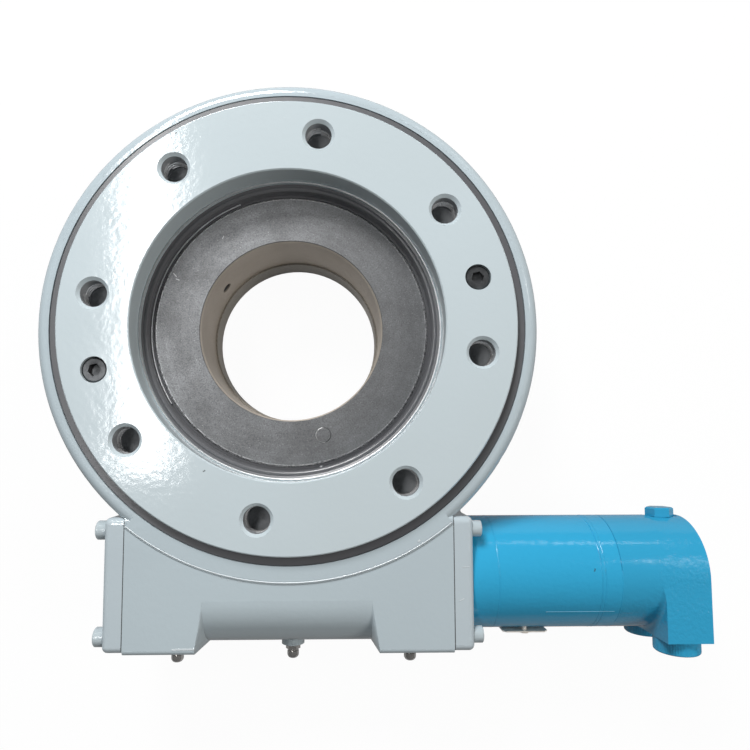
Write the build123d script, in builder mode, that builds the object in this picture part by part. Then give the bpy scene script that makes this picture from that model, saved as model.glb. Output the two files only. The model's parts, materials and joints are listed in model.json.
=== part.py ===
from build123d import *
import os
from math import asin, atan, cos, degrees, pi, radians, sin, sqrt, tan

# Slewing drive: a worm turns a toothed outer bearing ring inside a cast housing.
# The origin is on the slewing axis in the plane of the lower mounting face.
# +Z points up through the rotating ring and +X points along the worm to the hydraulic motor.
# All sizes are in millimetres.

# Heights over the mounting face
ring_top = 75.0
rim_top = 70.7
flange_underside = 61.5
wheel_bottom = 13.5
axis_height = 36.0
inner_ring_bottom = 17.2
inner_ring_top = 54.8
floor_top = 10.0

# Rotating ring
ring_r = 119.0
bore_step = 1.1
ring_edge = 0.6
seal_seat_bottom = 50.0
seal_seat_top = 61.0
seal_seat_step = 2.3
race_step = 1.7
ring_bolt_circle_r = 101.6
ring_bolt_count = 8
ring_bolt_start = 36.3
ring_tap_r = 7.0
ring_tap_mouth_r = 8.6
ring_tap_depth = 18.0
ring_screw_start = 13.8
ring_screw_count = 2
ring_screw_sink = 9.2

# Seals
seal_drop = 0.3
seal_bevel = 0.6
seal_heel_top = 59.2
seal_ridge_step = 3.3
seal_ridge_half = 0.5
seal_ridge_top = 58.4
seal_valley_step = 1.6
seal_valley_top = 54.0
seal_lip_top = 54.5

# Fixed inner ring
inner_ring_r = 74.8
inner_ring_bore_r = 49.33
inner_ring_edge = 1.0
base_bolt_circle_r = 60.3
base_bolt_count = 8
base_tap_depth = 22.0
base_clear_r = 8.75
inner_screw_count = 4
inner_screw_start = 67.5
inner_screw_engagement = 16.0
plug_angle = -73.0
plug_margin = 0.75
plug_pin_r = 4.2
plug_pin_edge = 0.4
plug_pin_depth = 30.0
plug_pin_inset = 14.8
oil_hole_angle = 143.6
oil_hole_height = 33.5
oil_hole_r = 3.2
oil_hole_depth = 4.0

# Ball race
ball_r = 7.0
groove_step = 1.7
ball_count = 20
race_gap = 0.05
spacer_r = 5.8
spacer_gap = 0.2

# Worm gearing
module = 3.0
wheel_teeth = 73
worm_factor = 16
addendum = 2.6
root_clearance = 0.35
flank_angle = 20.0
backlash = 0.5
tooth_face = 38.0
thread_half_length = 19.0
thread_sections = 48
thread_runout = 90.0
thread_start_height = 0.15
thread_sink = 0.5
core_half_length = 22.5
core_shoulder = 3.0

# Worm shaft and its tapered roller bearings
journal_r = 15.0
shoulder_r = 20.0
shoulder_x = 49.0
bearing_width = 17.25
cup_width = 14.0
cup_r = 31.0
cup_race_inner_r = 27.4
cup_race_outer_r = 24.4
cone_width = 16.0
cone_rib_r = 22.3
cone_rib_width = 2.5
cone_lip_r = 19.4
cone_lip_width = 1.5
cone_race_inner_r = 20.2
cone_race_outer_r = 18.0
roller_count = 12
roller_gap = 0.08
roller_shift = 0.4
roller_end_gap = 1.4
shaft_left_end = -70.0
shaft_right_end = 83.0

# Housing
rim_width = 7.3
rim_round = 5.5
saddle_step = 0.3
saddle_slope = 1.5
seal_groove_width = 5.2
seal_groove_bottom = 65.2
cavity_step = 1.5
boss_step = 1.2
floor_bore_r = 48.3
floor_bore_edge = 1.5
block_width = 69.4
block_height = 67.6
block_round = 2.5
block_left = -82.8
block_right = 84.7
block_inner_x = 46.8
tube_end_x = 43.0
tube_width = 68.0
tube_round = 26.0
chamber_r = 29.9

# Covers of the worm bore
cover_side = 67.6
cover_corner = 3.4
cover_edge = 2.8
cover_thickness = 10.1
plate_thickness = 9.9
gasket_thickness = 0.5
spigot_bore_r = 27.8
cover_screw_pitch = 54.0
land_gap = 0.5

# Hydraulic motor
motor_r = 30.4
motor_front_length = 14.0
motor_body_length = 53.5
motor_spacer_length = 1.9
motor_gerotor_length = 8.8
motor_end_round_length = 22.2
motor_block_length = 23.8
motor_block_half = 30.5
motor_block_reach = 32.0
cove_r = 14.0
cove_sink = 0.1
motor_seam = 0.35
pilot_r = 15.7
pilot_length = 4.0
motor_shaft_r = 8.0
motor_shaft_start = 62.0
motor_shaft_end = 125.0
shaft_bore_end = 60.0
key_width = 5.0
key_height = 2.0
key_length = 18.0
key_x = 76.0
mount_screw_circle_r = 22.5
mount_screw_count = 3
mount_screw_reach = 10.0
end_screw_circle_r = 24.0
end_screw_count = 4
end_screw_reach = 12.0
port_plug_r = 11.5
port_plug_x = 207.4
port_plug_pitch = 33.0
port_plug_height = 7.7
port_plug_edge = 0.5
port_plug_shank_r = 9.5
port_plug_shank = 8.5
drain_plug_x = 209.5
drain_plug_across_flats = 13.0
drain_plug_height = 5.0
drain_plug_edge = 0.8
drain_plug_turn = -15.0
drain_plug_sink = 0.6
drain_plug_seat_r = 8.8
drain_plug_shank_r = 4.0
drain_plug_shank = 9.0

# Bare plate riveted to the motor
nameplate_x = 128.1
nameplate_length = 24.6
nameplate_width = 20.0
nameplate_thickness = 0.7
nameplate_gap = 0.6
nameplate_corner = 2.0
rivet_r = 1.2
rivet_head_r = 2.3
rivet_head = 0.8
rivet_depth = 5.0
rivet_pitch = 14.0

# Grease nipples
nipple_shank_r = 3.0
nipple_shank = 5.5
nipple_hex_flats = 7.0
nipple_hex = 3.0
nipple_neck_r = 2.2
nipple_neck = 1.2
nipple_head_r = 3.2
nipple_head = 3.9
nipple_round = 2.2
nipple_left_x = -59.0
nipple_middle_x = 0.3
nipple_right_x = 63.6
nipple_side_height = 54.0
nipple_boss_r = 6.3
nipple_boss_end = 39.2
grease_way_r = 1.5

# Socket screws by thread radius: head radius, head height, key across flats
m8_r = 4.0
m8_head_r = 6.5
m8_head = 8.0
m8_key = 6.0
m6_r = 3.0
m6_head_r = 4.9
m6_head = 6.0
m6_key = 5.0
m5_r = 2.5
m5_head_r = 4.25
m5_key = 4.0
low_head = 4.0
socket_depth = 3.0
screw_gap = 0.05
clearance_hole = 0.3
washer_thickness = 1.2
cover_screw_reach = 13.0

# Clearances
running_gap = 0.05
seal_gap = 0.1
seat_gap = 0.02
cut_past = 1.0

# Sizes worked out from the driving ones
ball_circle_r = inner_ring_r + groove_step
race_bore_r = ball_circle_r + race_step
seal_seat_r = race_bore_r + seal_seat_step
ring_bore_r = seal_seat_r + bore_step
seal_ridge_r = inner_ring_r + seal_ridge_step
seal_valley_r = inner_ring_r + seal_valley_step
boss_r = inner_ring_r + boss_step
cavity_r = ring_r + cavity_step
seal_groove_r = ring_r + seal_groove_width
tower_r = seal_groove_r + rim_width
saddle_r = tower_r + saddle_step
plug_pin_circle_r = inner_ring_r - plug_pin_inset
wheel_pitch_r = module * wheel_teeth / 2
worm_pitch_r = module * worm_factor / 2
centre_distance = wheel_pitch_r + worm_pitch_r
lead_angle = degrees(atan(1 / worm_factor))
wheel_tip_r = wheel_pitch_r + addendum
thread_tip_wheel_r = wheel_pitch_r - addendum
thread_root_wheel_r = wheel_tip_r + root_clearance
half_space = module * pi / 4
block_top = axis_height + block_height / 2
cover_face = block_left - gasket_thickness
cover_outside = cover_face - cover_thickness
plate_face = block_right + gasket_thickness
plate_outside = plate_face + plate_thickness
cup_end = shoulder_x + bearing_width
cup_start = cup_end - cup_width
cone_end = shoulder_x + cone_width
motor_body_x = plate_outside + motor_front_length
motor_spacer_x = motor_body_x + motor_body_length
motor_gerotor_x = motor_spacer_x + motor_spacer_length
motor_end_x = motor_gerotor_x + motor_gerotor_length
motor_block_x = motor_end_x + motor_end_round_length
motor_end = motor_block_x + motor_block_length
plug_r = ball_r + plug_margin
base_tap_r = ring_tap_r

worm_axis = Axis((0, -centre_distance, axis_height), (1, 0, 0))
worm_profile_plane = Plane(
    origin=(0, -centre_distance, axis_height), x_dir=(1, 0, 0), z_dir=(0, -1, 0)
)


def across(x):
    """Plane square to the worm axis at x: its own x is +Y, its y is +Z, its normal is +X."""
    return Plane(origin=(x, -centre_distance, axis_height), x_dir=(0, 1, 0), z_dir=(1, 0, 0))


def facing_front(reach, height=axis_height, x=0.0):
    """Plane at a reach in front of the worm axis: its normal is -Y, its own x is +X."""
    return Plane(origin=(x, -centre_distance - reach, height), x_dir=(1, 0, 0), z_dir=(0, -1, 0))


def half_plane(angle):
    """Upright plane through the slewing axis at an angle: its own x runs outwards."""
    out = radians(angle)
    return Plane(origin=(0, 0, 0), x_dir=(cos(out), sin(out), 0), z_dir=(sin(out), -cos(out), 0))


def save(piece, label):
    """Label the finished piece and write it to its own file."""
    piece.part.label = label
    export_step(piece.part, f"parts/{label}.step")


def socket_screw(r, length, head_r, head, key):
    """Socket head screw, standing on Z with the underside of its head at zero."""
    with BuildPart() as screw:
        with BuildSketch():
            Circle(head_r)
        extrude(amount=head)
        chamfer(screw.edges().group_by(Axis.Z)[-1], length=head / 10)
        with BuildSketch():
            Circle(r)
        extrude(amount=-length)
        with BuildSketch(Plane.XY.offset(head)):
            RegularPolygon(radius=key / 2, side_count=6, major_radius=False)
        extrude(amount=-socket_depth, mode=Mode.SUBTRACT)
    return screw.part


os.makedirs("parts", exist_ok=True)

# Housing: a round pan for the bearing, with the square ended worm box in front of it
with BuildPart() as housing:
    with BuildSketch():
        Circle(tower_r)
    extrude(amount=rim_top)
    fillet(housing.edges().group_by(Axis.Z)[-1], radius=rim_round)
    # square blocks round the worm bearings
    with BuildSketch(across(block_left)):
        RectangleRounded(block_width, block_height, block_round)
    extrude(amount=-block_inner_x - block_left)
    with BuildSketch(across(block_inner_x)):
        RectangleRounded(block_width, block_height, block_round)
    extrude(amount=block_right - block_inner_x)
    # rounded tube over the worm, flared into each block
    with BuildSketch(across(-tube_end_x)):
        RectangleRounded(tube_width, block_height, tube_round)
    extrude(amount=2 * tube_end_x)
    for side in (-1, 1):
        with BuildSketch(across(side * block_inner_x)):
            RectangleRounded(block_width, block_height, block_round)
        with BuildSketch(across(side * tube_end_x)):
            RectangleRounded(tube_width, block_height, tube_round)
        loft()
    # low step where the rim stands over the worm box
    saddle_foot_r = saddle_r + saddle_slope
    saddle_start = 270 - degrees(asin(-block_left / saddle_foot_r))
    saddle_end = 270 + degrees(asin(block_right / saddle_foot_r))
    with BuildSketch(half_plane(saddle_start)):
        with BuildLine():
            Polyline(
                (cavity_r, block_top - rim_round),
                (saddle_foot_r, block_top - rim_round),
                (saddle_foot_r, block_top),
                (saddle_r, rim_top),
                (cavity_r, rim_top),
                close=True,
            )
        make_face()
    revolve(axis=Axis.Z, revolution_arc=saddle_end - saddle_start)
    # boss of the middle grease nipple
    with BuildSketch(facing_front(nipple_boss_end, x=nipple_middle_x)):
        Circle(nipple_boss_r)
    extrude(amount=-nipple_boss_end + chamber_r)
    # room for the wheel, the floor boss under the inner ring and the seal groove
    with BuildSketch(Plane.XZ):
        with BuildLine():
            Polyline(
                (0, inner_ring_bottom),
                (boss_r, inner_ring_bottom),
                (boss_r, floor_top),
                (cavity_r, floor_top),
                (cavity_r, seal_groove_bottom),
                (seal_groove_r, seal_groove_bottom),
                (seal_groove_r, rim_top + cut_past),
                (0, rim_top + cut_past),
                close=True,
            )
        make_face()
    revolve(axis=Axis.Z, mode=Mode.SUBTRACT)
    with BuildSketch():
        Circle(floor_bore_r)
    extrude(amount=inner_ring_bottom, mode=Mode.SUBTRACT)
    mouth = housing.edges().filter_by(GeomType.CIRCLE).group_by(Axis.Z)[0].sort_by(SortBy.RADIUS)[0]
    chamfer(mouth, length=floor_bore_edge)
    # machined lands that clear the edges of the two covers
    with BuildSketch(across(block_left)):
        RectangleRounded(cover_side + 2 * land_gap, cover_side + 2 * land_gap, cover_corner)
    extrude(amount=-cover_thickness, mode=Mode.SUBTRACT)
    with BuildSketch(across(block_right)):
        RectangleRounded(cover_side + 2 * land_gap, cover_side + 2 * land_gap, cover_corner)
    extrude(amount=plate_thickness, mode=Mode.SUBTRACT)
    # worm chamber and bearing seats
    with BuildSketch(across(-shoulder_x)):
        Circle(chamber_r)
    extrude(amount=2 * shoulder_x, mode=Mode.SUBTRACT)
    with BuildSketch(across(block_left)):
        Circle(cup_r)
    extrude(amount=-shoulder_x - block_left, mode=Mode.SUBTRACT)
    with BuildSketch(across(shoulder_x)):
        Circle(cup_r)
    extrude(amount=block_right - shoulder_x, mode=Mode.SUBTRACT)
    # bolt holes under the inner ring
    with BuildSketch():
        with PolarLocations(base_bolt_circle_r, base_bolt_count):
            Circle(base_clear_r)
    extrude(amount=inner_ring_bottom, mode=Mode.SUBTRACT)
    with Locations(Plane.XY.rotated((180, 0, 0))):
        with PolarLocations(base_bolt_circle_r, inner_screw_count, start_angle=-inner_screw_start):
            CounterBoreHole(m8_r + clearance_hole, m8_head_r + clearance_hole, m8_head + cut_past)
    # tapped holes for the cover screws
    with BuildSketch(across(block_left)):
        with GridLocations(cover_screw_pitch, cover_screw_pitch, 2, 2):
            Circle(m6_r + screw_gap)
    extrude(amount=cover_screw_reach, mode=Mode.SUBTRACT)
    with BuildSketch(across(block_right)):
        with GridLocations(cover_screw_pitch, cover_screw_pitch, 2, 2):
            Circle(m5_r + screw_gap)
    extrude(amount=-cover_screw_reach, mode=Mode.SUBTRACT)
    # grease ways under the nipples
    for nipple_x, nipple_z, reach in (
        (nipple_left_x, nipple_side_height, block_width / 2),
        (nipple_middle_x, axis_height, nipple_boss_end),
        (nipple_right_x, nipple_side_height, block_width / 2),
    ):
        with BuildSketch(facing_front(reach, nipple_z, nipple_x)):
            Circle(nipple_shank_r + screw_gap)
        extrude(amount=-nipple_shank, mode=Mode.SUBTRACT)
        with BuildSketch(facing_front(reach, nipple_z, nipple_x)):
            Circle(grease_way_r)
        extrude(amount=-reach + cup_r / 2, mode=Mode.SUBTRACT)
save(housing, "housing")

# Grease nipples, each screwed into the housing with its head outside
for nipple_name, nipple_x, nipple_z, reach in (
    ("grease_nipple_left", nipple_left_x, nipple_side_height, block_width / 2),
    ("grease_nipple_middle", nipple_middle_x, axis_height, nipple_boss_end),
    ("grease_nipple_right", nipple_right_x, nipple_side_height, block_width / 2),
):
    seat = facing_front(reach, nipple_z, nipple_x)
    with BuildPart() as nipple:
        with BuildSketch(seat):
            Circle(nipple_shank_r)
        extrude(amount=-nipple_shank)
        with BuildSketch(seat):
            RegularPolygon(radius=nipple_hex_flats / 2, side_count=6, major_radius=False)
        extrude(amount=nipple_hex)
        with BuildSketch(seat.offset(nipple_hex)):
            Circle(nipple_neck_r)
        extrude(amount=nipple_neck)
        with BuildSketch(seat.offset(nipple_hex + nipple_neck)):
            Circle(nipple_head_r)
        extrude(amount=nipple_head)
        tip = nipple.faces().sort_by(Axis.Y)[0]
        fillet(tip.edges(), radius=nipple_round)
    save(nipple, nipple_name)

# Fixed inner ring with its ball groove, plug hole and tapped holes for the base bolts
with BuildPart() as inner_ring:
    with BuildSketch(Plane.XZ):
        with BuildLine():
            Polyline(
                (inner_ring_bore_r, inner_ring_bottom),
                (inner_ring_r, inner_ring_bottom),
                (inner_ring_r, inner_ring_top),
                (inner_ring_bore_r, inner_ring_top),
                close=True,
            )
        make_face()
    revolve(axis=Axis.Z)
    chamfer(inner_ring.edges().group_by(Axis.Z)[-1], length=inner_ring_edge)
    with BuildSketch(Plane.XZ):
        with Locations((ball_circle_r, axis_height)):
            Circle(ball_r + race_gap)
    revolve(axis=Axis.Z, mode=Mode.SUBTRACT)
    with BuildSketch(Plane.XY.offset(inner_ring_bottom)):
        with PolarLocations(base_bolt_circle_r, base_bolt_count):
            Circle(base_tap_r)
    extrude(amount=base_tap_depth, mode=Mode.SUBTRACT)
    with BuildSketch(Plane.XY.offset(inner_ring_bottom)):
        with PolarLocations(base_bolt_circle_r, inner_screw_count, start_angle=inner_screw_start):
            Circle(m8_r + screw_gap)
    extrude(amount=inner_screw_engagement, mode=Mode.SUBTRACT)
    with BuildSketch(
        Plane(
            origin=(0, 0, axis_height),
            x_dir=(0, 0, 1),
            z_dir=(cos(radians(plug_angle)), sin(radians(plug_angle)), 0),
        )
    ):
        Circle(plug_r + running_gap)
    extrude(amount=ball_circle_r, mode=Mode.SUBTRACT)
    with BuildSketch(Plane.XY.offset(inner_ring_top)):
        with PolarLocations(plug_pin_circle_r, 1, start_angle=plug_angle):
            Circle(plug_pin_r + seat_gap)
    extrude(amount=-plug_pin_depth, mode=Mode.SUBTRACT)
    with BuildSketch(
        Plane(
            origin=(
                inner_ring_bore_r * cos(radians(oil_hole_angle)),
                inner_ring_bore_r * sin(radians(oil_hole_angle)),
                oil_hole_height,
            ),
            x_dir=(0, 0, 1),
            z_dir=(cos(radians(oil_hole_angle)), sin(radians(oil_hole_angle)), 0),
        )
    ):
        Circle(oil_hole_r)
    extrude(amount=oil_hole_depth, both=True, mode=Mode.SUBTRACT)
save(inner_ring, "inner_ring")

# Plug that closes the hole through which the balls are filled
with BuildPart() as ball_filler_plug:
    with BuildSketch(
        Plane(
            origin=(0, 0, axis_height),
            x_dir=(0, 0, 1),
            z_dir=(cos(radians(plug_angle)), sin(radians(plug_angle)), 0),
        )
    ):
        Circle(plug_r)
    extrude(amount=inner_ring_r)
    with BuildSketch(Plane.XY.offset(axis_height)):
        Circle(inner_ring_bore_r)
    extrude(amount=plug_r + cut_past, both=True, mode=Mode.SUBTRACT)
    with BuildSketch(Plane.XZ):
        with Locations((ball_circle_r, axis_height)):
            Circle(ball_r + race_gap)
    revolve(axis=Axis.Z, mode=Mode.SUBTRACT)
    with BuildSketch(Plane.XY.offset(inner_ring_top)):
        with PolarLocations(plug_pin_circle_r, 1, start_angle=plug_angle):
            Circle(plug_pin_r + seat_gap)
    extrude(amount=-plug_pin_depth, mode=Mode.SUBTRACT)
save(ball_filler_plug, "ball_filler_plug")

# Pin that locks the filler plug from above
with BuildPart() as filler_plug_pin:
    with BuildSketch(Plane.XY.offset(inner_ring_top)):
        with PolarLocations(plug_pin_circle_r, 1, start_angle=plug_angle):
            Circle(plug_pin_r)
    extrude(amount=-plug_pin_depth)
    chamfer(filler_plug_pin.edges().group_by(Axis.Z)[-1], length=plug_pin_edge)
save(filler_plug_pin, "filler_plug_pin")

# Screws that hold the inner ring down on the housing floor
inner_screw_seat = m8_head + cut_past
inner_screw_length = inner_ring_bottom - inner_screw_seat + inner_screw_engagement - cut_past
inner_screw = socket_screw(m8_r, inner_screw_length, m8_head_r, m8_head, m8_key)
with BuildPart() as inner_ring_screws:
    with Locations(Plane(origin=(0, 0, inner_screw_seat), x_dir=(1, 0, 0), z_dir=(0, 0, -1))):
        with PolarLocations(base_bolt_circle_r, inner_screw_count, start_angle=-inner_screw_start):
            add(inner_screw)
save(inner_ring_screws, "inner_ring_screws")

# Balls and the plastic spacers that keep them apart
with BuildPart() as ball_row:
    with Locations(Plane.XY.offset(axis_height)):
        with PolarLocations(ball_circle_r, ball_count):
            Sphere(ball_r)
save(ball_row, "ball_row")
spacer_angle = 360 / ball_count
spacer_length = 2 * pi * ball_circle_r / ball_count - 2 * ball_r - 2 * spacer_gap
with BuildPart() as ball_spacers:
    with Locations(Plane.XY.offset(axis_height)):
        with PolarLocations(ball_circle_r, ball_count, start_angle=spacer_angle / 2):
            Cylinder(spacer_r, spacer_length, rotation=(90, 0, 0))
save(ball_spacers, "ball_spacers")

# One tooth space of the wheel, slanted by the lead angle of the worm
lead = radians(lead_angle)
pressure = tan(radians(flank_angle))
space_half = half_space + backlash / 4
space_mouth = space_half + (addendum + cut_past) * pressure
space_floor = space_half - (addendum + root_clearance) * pressure
space_plane = Plane(
    origin=(0, -wheel_pitch_r, axis_height),
    x_dir=(cos(lead), 0, -sin(lead)),
    z_dir=(sin(lead), 0, cos(lead)),
)
with BuildPart() as tooth_space:
    with BuildSketch(space_plane.offset(wheel_bottom - axis_height - cut_past)):
        Polygon(
            (-space_mouth, -addendum - cut_past),
            (space_mouth, -addendum - cut_past),
            (space_floor, addendum + root_clearance),
            (-space_floor, addendum + root_clearance),
            align=None,
        )
    extrude(amount=axis_height - wheel_bottom + cut_past + tooth_face / 2)

# Rotating ring: a flanged bearing ring whose rim is the worm wheel
with BuildPart() as slew_ring:
    with BuildSketch(Plane.XZ):
        with BuildLine():
            Polyline(
                (race_bore_r, wheel_bottom),
                (wheel_tip_r, wheel_bottom),
                (wheel_tip_r, flange_underside),
                (ring_r, flange_underside),
                (ring_r, ring_top),
                (ring_bore_r, ring_top),
                (ring_bore_r, seal_seat_top),
                (seal_seat_r, seal_seat_top),
                (seal_seat_r, seal_seat_bottom),
                (race_bore_r, seal_seat_bottom),
                close=True,
            )
        make_face()
    revolve(axis=Axis.Z)
    chamfer(slew_ring.edges().group_by(Axis.Z)[-1], length=ring_edge)
    with BuildSketch(Plane.XZ):
        with Locations((ball_circle_r, axis_height)):
            Circle(ball_r + race_gap)
    revolve(axis=Axis.Z, mode=Mode.SUBTRACT)
    with Locations(Plane.XY.offset(ring_top)):
        with PolarLocations(ring_bolt_circle_r, ring_bolt_count, start_angle=ring_bolt_start):
            CounterSinkHole(ring_tap_r, ring_tap_mouth_r, depth=ring_tap_depth, counter_sink_angle=90)
        with PolarLocations(ring_bolt_circle_r, ring_screw_count, start_angle=ring_screw_start):
            CounterBoreHole(
                m8_r + screw_gap, m8_head_r + clearance_hole, ring_screw_sink, depth=ring_tap_depth
            )
    with PolarLocations(0, wheel_teeth):
        add(tooth_space.part, mode=Mode.SUBTRACT)
save(slew_ring, "slew_ring")

# Two socket screws sunk into the ring beside its tapped holes
ring_screw = socket_screw(m8_r, ring_tap_depth - ring_screw_sink, m8_head_r, m8_head, m8_key)
with BuildPart() as ring_screws:
    with Locations(Plane.XY.offset(ring_top - ring_screw_sink)):
        with PolarLocations(ring_bolt_circle_r, ring_screw_count, start_angle=ring_screw_start):
            add(ring_screw)
save(ring_screws, "ring_screws")

# Rubber ring that closes the gap between the rotating ring and the housing rim
with BuildPart() as outer_seal:
    with BuildSketch(Plane.XZ):
        with BuildLine():
            Polyline(
                (ring_r + seal_gap, seal_groove_bottom),
                (seal_groove_r - seat_gap, seal_groove_bottom),
                (seal_groove_r - seat_gap, rim_top - seal_drop - seal_bevel),
                (seal_groove_r - seal_bevel, rim_top - seal_drop),
                (ring_r + seal_gap + seal_bevel, rim_top - seal_drop),
                (ring_r + seal_gap, rim_top - seal_drop - seal_bevel),
                close=True,
            )
        make_face()
    revolve(axis=Axis.Z)
save(outer_seal, "outer_seal")

# Lip seal carried by the rotating ring, its lip running on the inner ring
with BuildPart() as inner_seal:
    with BuildSketch(Plane.XZ):
        with BuildLine():
            Polyline(
                (inner_ring_r + seal_gap, seal_seat_bottom),
                (seal_seat_r - seat_gap, seal_seat_bottom),
                (seal_seat_r - seat_gap, seal_heel_top),
                (seal_ridge_r + seal_ridge_half, seal_ridge_top),
                (seal_ridge_r - seal_ridge_half, seal_ridge_top),
                (seal_valley_r, seal_valley_top),
                (inner_ring_r + seal_gap, seal_lip_top),
                close=True,
            )
        make_face()
    revolve(axis=Axis.Z)
save(inner_seal, "inner_seal")

# Worm shaft with journals at both ends, a waisted core and a thread wrapped round the wheel
core_r = centre_distance - sqrt(thread_root_wheel_r**2 - core_half_length**2)
thread_turn = wheel_teeth * degrees(asin(thread_half_length / wheel_pitch_r))
thread_half = half_space - backlash / 4


def thread_plane(turn):
    """Plane through the worm axis at an angle from +Y: its own y runs outwards."""
    out = radians(turn)
    return Plane(
        origin=(0, -centre_distance, axis_height), x_dir=(1, 0, 0), z_dir=(0, -sin(out), cos(out))
    )


def thread_corner(side, reach, wheel_turn):
    """Corner of the thread section at a reach from the wheel centre, along and out from the worm axis."""
    offset = side * (thread_half + (reach - wheel_pitch_r) * pressure)
    along = reach * sin(wheel_turn) + offset * cos(wheel_turn)
    outwards = centre_distance - reach * cos(wheel_turn) + offset * sin(wheel_turn)
    return (along, outwards)


with BuildPart() as worm_thread:
    for step in range(thread_sections + 1):
        turn = thread_turn * (2 * step / thread_sections - 1)
        wheel_turn = radians(turn / wheel_teeth)
        height = min(1, thread_start_height + (thread_turn - abs(turn)) / thread_runout)
        tip_reach = thread_root_wheel_r + (thread_tip_wheel_r - thread_root_wheel_r) * height
        base_reach = thread_root_wheel_r + thread_sink
        with BuildSketch(thread_plane(turn)):
            Polygon(
                thread_corner(-1, base_reach, wheel_turn),
                thread_corner(1, base_reach, wheel_turn),
                thread_corner(1, tip_reach, wheel_turn),
                thread_corner(-1, tip_reach, wheel_turn),
                align=None,
            )
    loft()
with BuildPart() as worm_shaft:
    with BuildSketch(worm_profile_plane):
        with BuildLine():
            Polyline(
                (-core_half_length, core_r),
                (-core_half_length - core_shoulder, shoulder_r),
                (-shoulder_x, shoulder_r),
                (-shoulder_x, journal_r),
                (shaft_left_end, journal_r),
                (shaft_left_end, 0),
                (shaft_right_end, 0),
                (shaft_right_end, journal_r),
                (shoulder_x, journal_r),
                (shoulder_x, shoulder_r),
                (core_half_length + core_shoulder, shoulder_r),
                (core_half_length, core_r),
            )
            ThreePointArc(
                (core_half_length, core_r),
                (0, centre_distance - thread_root_wheel_r),
                (-core_half_length, core_r),
            )
        make_face()
    revolve(axis=worm_axis)
    add(worm_thread.part)
    # bore and keyway for the motor shaft
    with BuildSketch(across(shaft_bore_end)):
        Circle(motor_shaft_r + seat_gap)
    extrude(amount=shaft_right_end - shaft_bore_end, mode=Mode.SUBTRACT)
    with BuildSketch(across(key_x - key_length / 2 - screw_gap)):
        with Locations((0, motor_shaft_r)):
            Rectangle(key_width + 2 * seat_gap, key_height + 2 * seat_gap)
    extrude(amount=shaft_right_end - key_x + key_length / 2 + cut_past, mode=Mode.SUBTRACT)
save(worm_shaft, "worm_shaft")

# Tapered roller bearings, one at each end of the worm
cone_race_start = shoulder_x + cone_rib_width
cone_race_end = cone_end - cone_lip_width
with BuildPart() as worm_bearing_cones:
    with BuildSketch(worm_profile_plane):
        Polygon(
            (shoulder_x, journal_r + seat_gap),
            (shoulder_x, cone_rib_r),
            (cone_race_start, cone_rib_r),
            (cone_race_start, cone_race_inner_r),
            (cone_race_end, cone_race_outer_r),
            (cone_race_end, cone_lip_r),
            (cone_end, cone_lip_r),
            (cone_end, journal_r + seat_gap),
            align=None,
        )
    revolve(axis=worm_axis)
    mirror(about=Plane.YZ)
save(worm_bearing_cones, "worm_bearing_cones")

with BuildPart() as worm_bearing_cups:
    with BuildSketch(worm_profile_plane):
        Polygon(
            (cup_start, cup_race_inner_r),
            (cup_start, cup_r - seat_gap),
            (cup_end, cup_r - seat_gap),
            (cup_end, cup_race_outer_r),
            align=None,
        )
    revolve(axis=worm_axis)
    mirror(about=Plane.YZ)
save(worm_bearing_cups, "worm_bearing_cups")

cup_slope = (cup_race_outer_r - cup_race_inner_r) / cup_width
cone_slope = (cone_race_outer_r - cone_race_inner_r) / (cone_race_end - cone_race_start)
roller_x = (cone_race_start + cone_race_end) / 2 + roller_shift
cup_race_here = cup_race_inner_r + (roller_x - cup_start) * cup_slope
cone_race_here = cone_race_inner_r + (roller_x - cone_race_start) * cone_slope
roller_tilt = (atan(-cup_slope) + atan(-cone_slope)) / 2
roller_taper = (atan(-cup_slope) - atan(-cone_slope)) / 2
roller_length = cone_race_end - cone_race_start - roller_end_gap
roller_mid_r = (cup_race_here - cone_race_here) / 2 * cos(roller_tilt) - roller_gap
roller_flare = roller_length / 2 * tan(roller_taper)
with BuildPart(across(roller_x)) as worm_bearing_rollers:
    with PolarLocations((cup_race_here + cone_race_here) / 2, roller_count):
        Cone(
            roller_mid_r + roller_flare,
            roller_mid_r - roller_flare,
            roller_length,
            rotation=(0, -degrees(roller_tilt), 0),
        )
    mirror(about=Plane.YZ)
save(worm_bearing_rollers, "worm_bearing_rollers")


def bore_cover(face, side, thickness, screw_hole_r, window_r):
    """Square cover over one end of the worm bore, with a spigot that holds the bearing cup."""
    with BuildPart() as cover:
        with BuildSketch(across(face)):
            RectangleRounded(cover_side, cover_side, cover_corner)
        extrude(amount=side * thickness)
        outer_face = cover.faces().sort_by(Axis.X)[-1 if side > 0 else 0]
        fillet(outer_face.edges(), radius=cover_edge)
        with BuildSketch(across(side * cup_end)):
            Circle(cup_r - seat_gap)
            Circle(spigot_bore_r, mode=Mode.SUBTRACT)
        extrude(amount=face - side * cup_end)
        with BuildSketch(across(face)):
            with GridLocations(cover_screw_pitch, cover_screw_pitch, 2, 2):
                Circle(screw_hole_r)
            if window_r:
                Circle(window_r)
        extrude(amount=side * thickness, mode=Mode.SUBTRACT)
    return cover


def bore_gasket(face, screw_hole_r):
    """Flat gasket between a cover and the housing block."""
    with BuildPart() as gasket:
        with BuildSketch(across(face)):
            RectangleRounded(cover_side, cover_side, cover_corner)
            Circle(cup_r, mode=Mode.SUBTRACT)
            with GridLocations(cover_screw_pitch, cover_screw_pitch, 2, 2):
                Circle(screw_hole_r, mode=Mode.SUBTRACT)
        extrude(amount=gasket_thickness)
    return gasket


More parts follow.
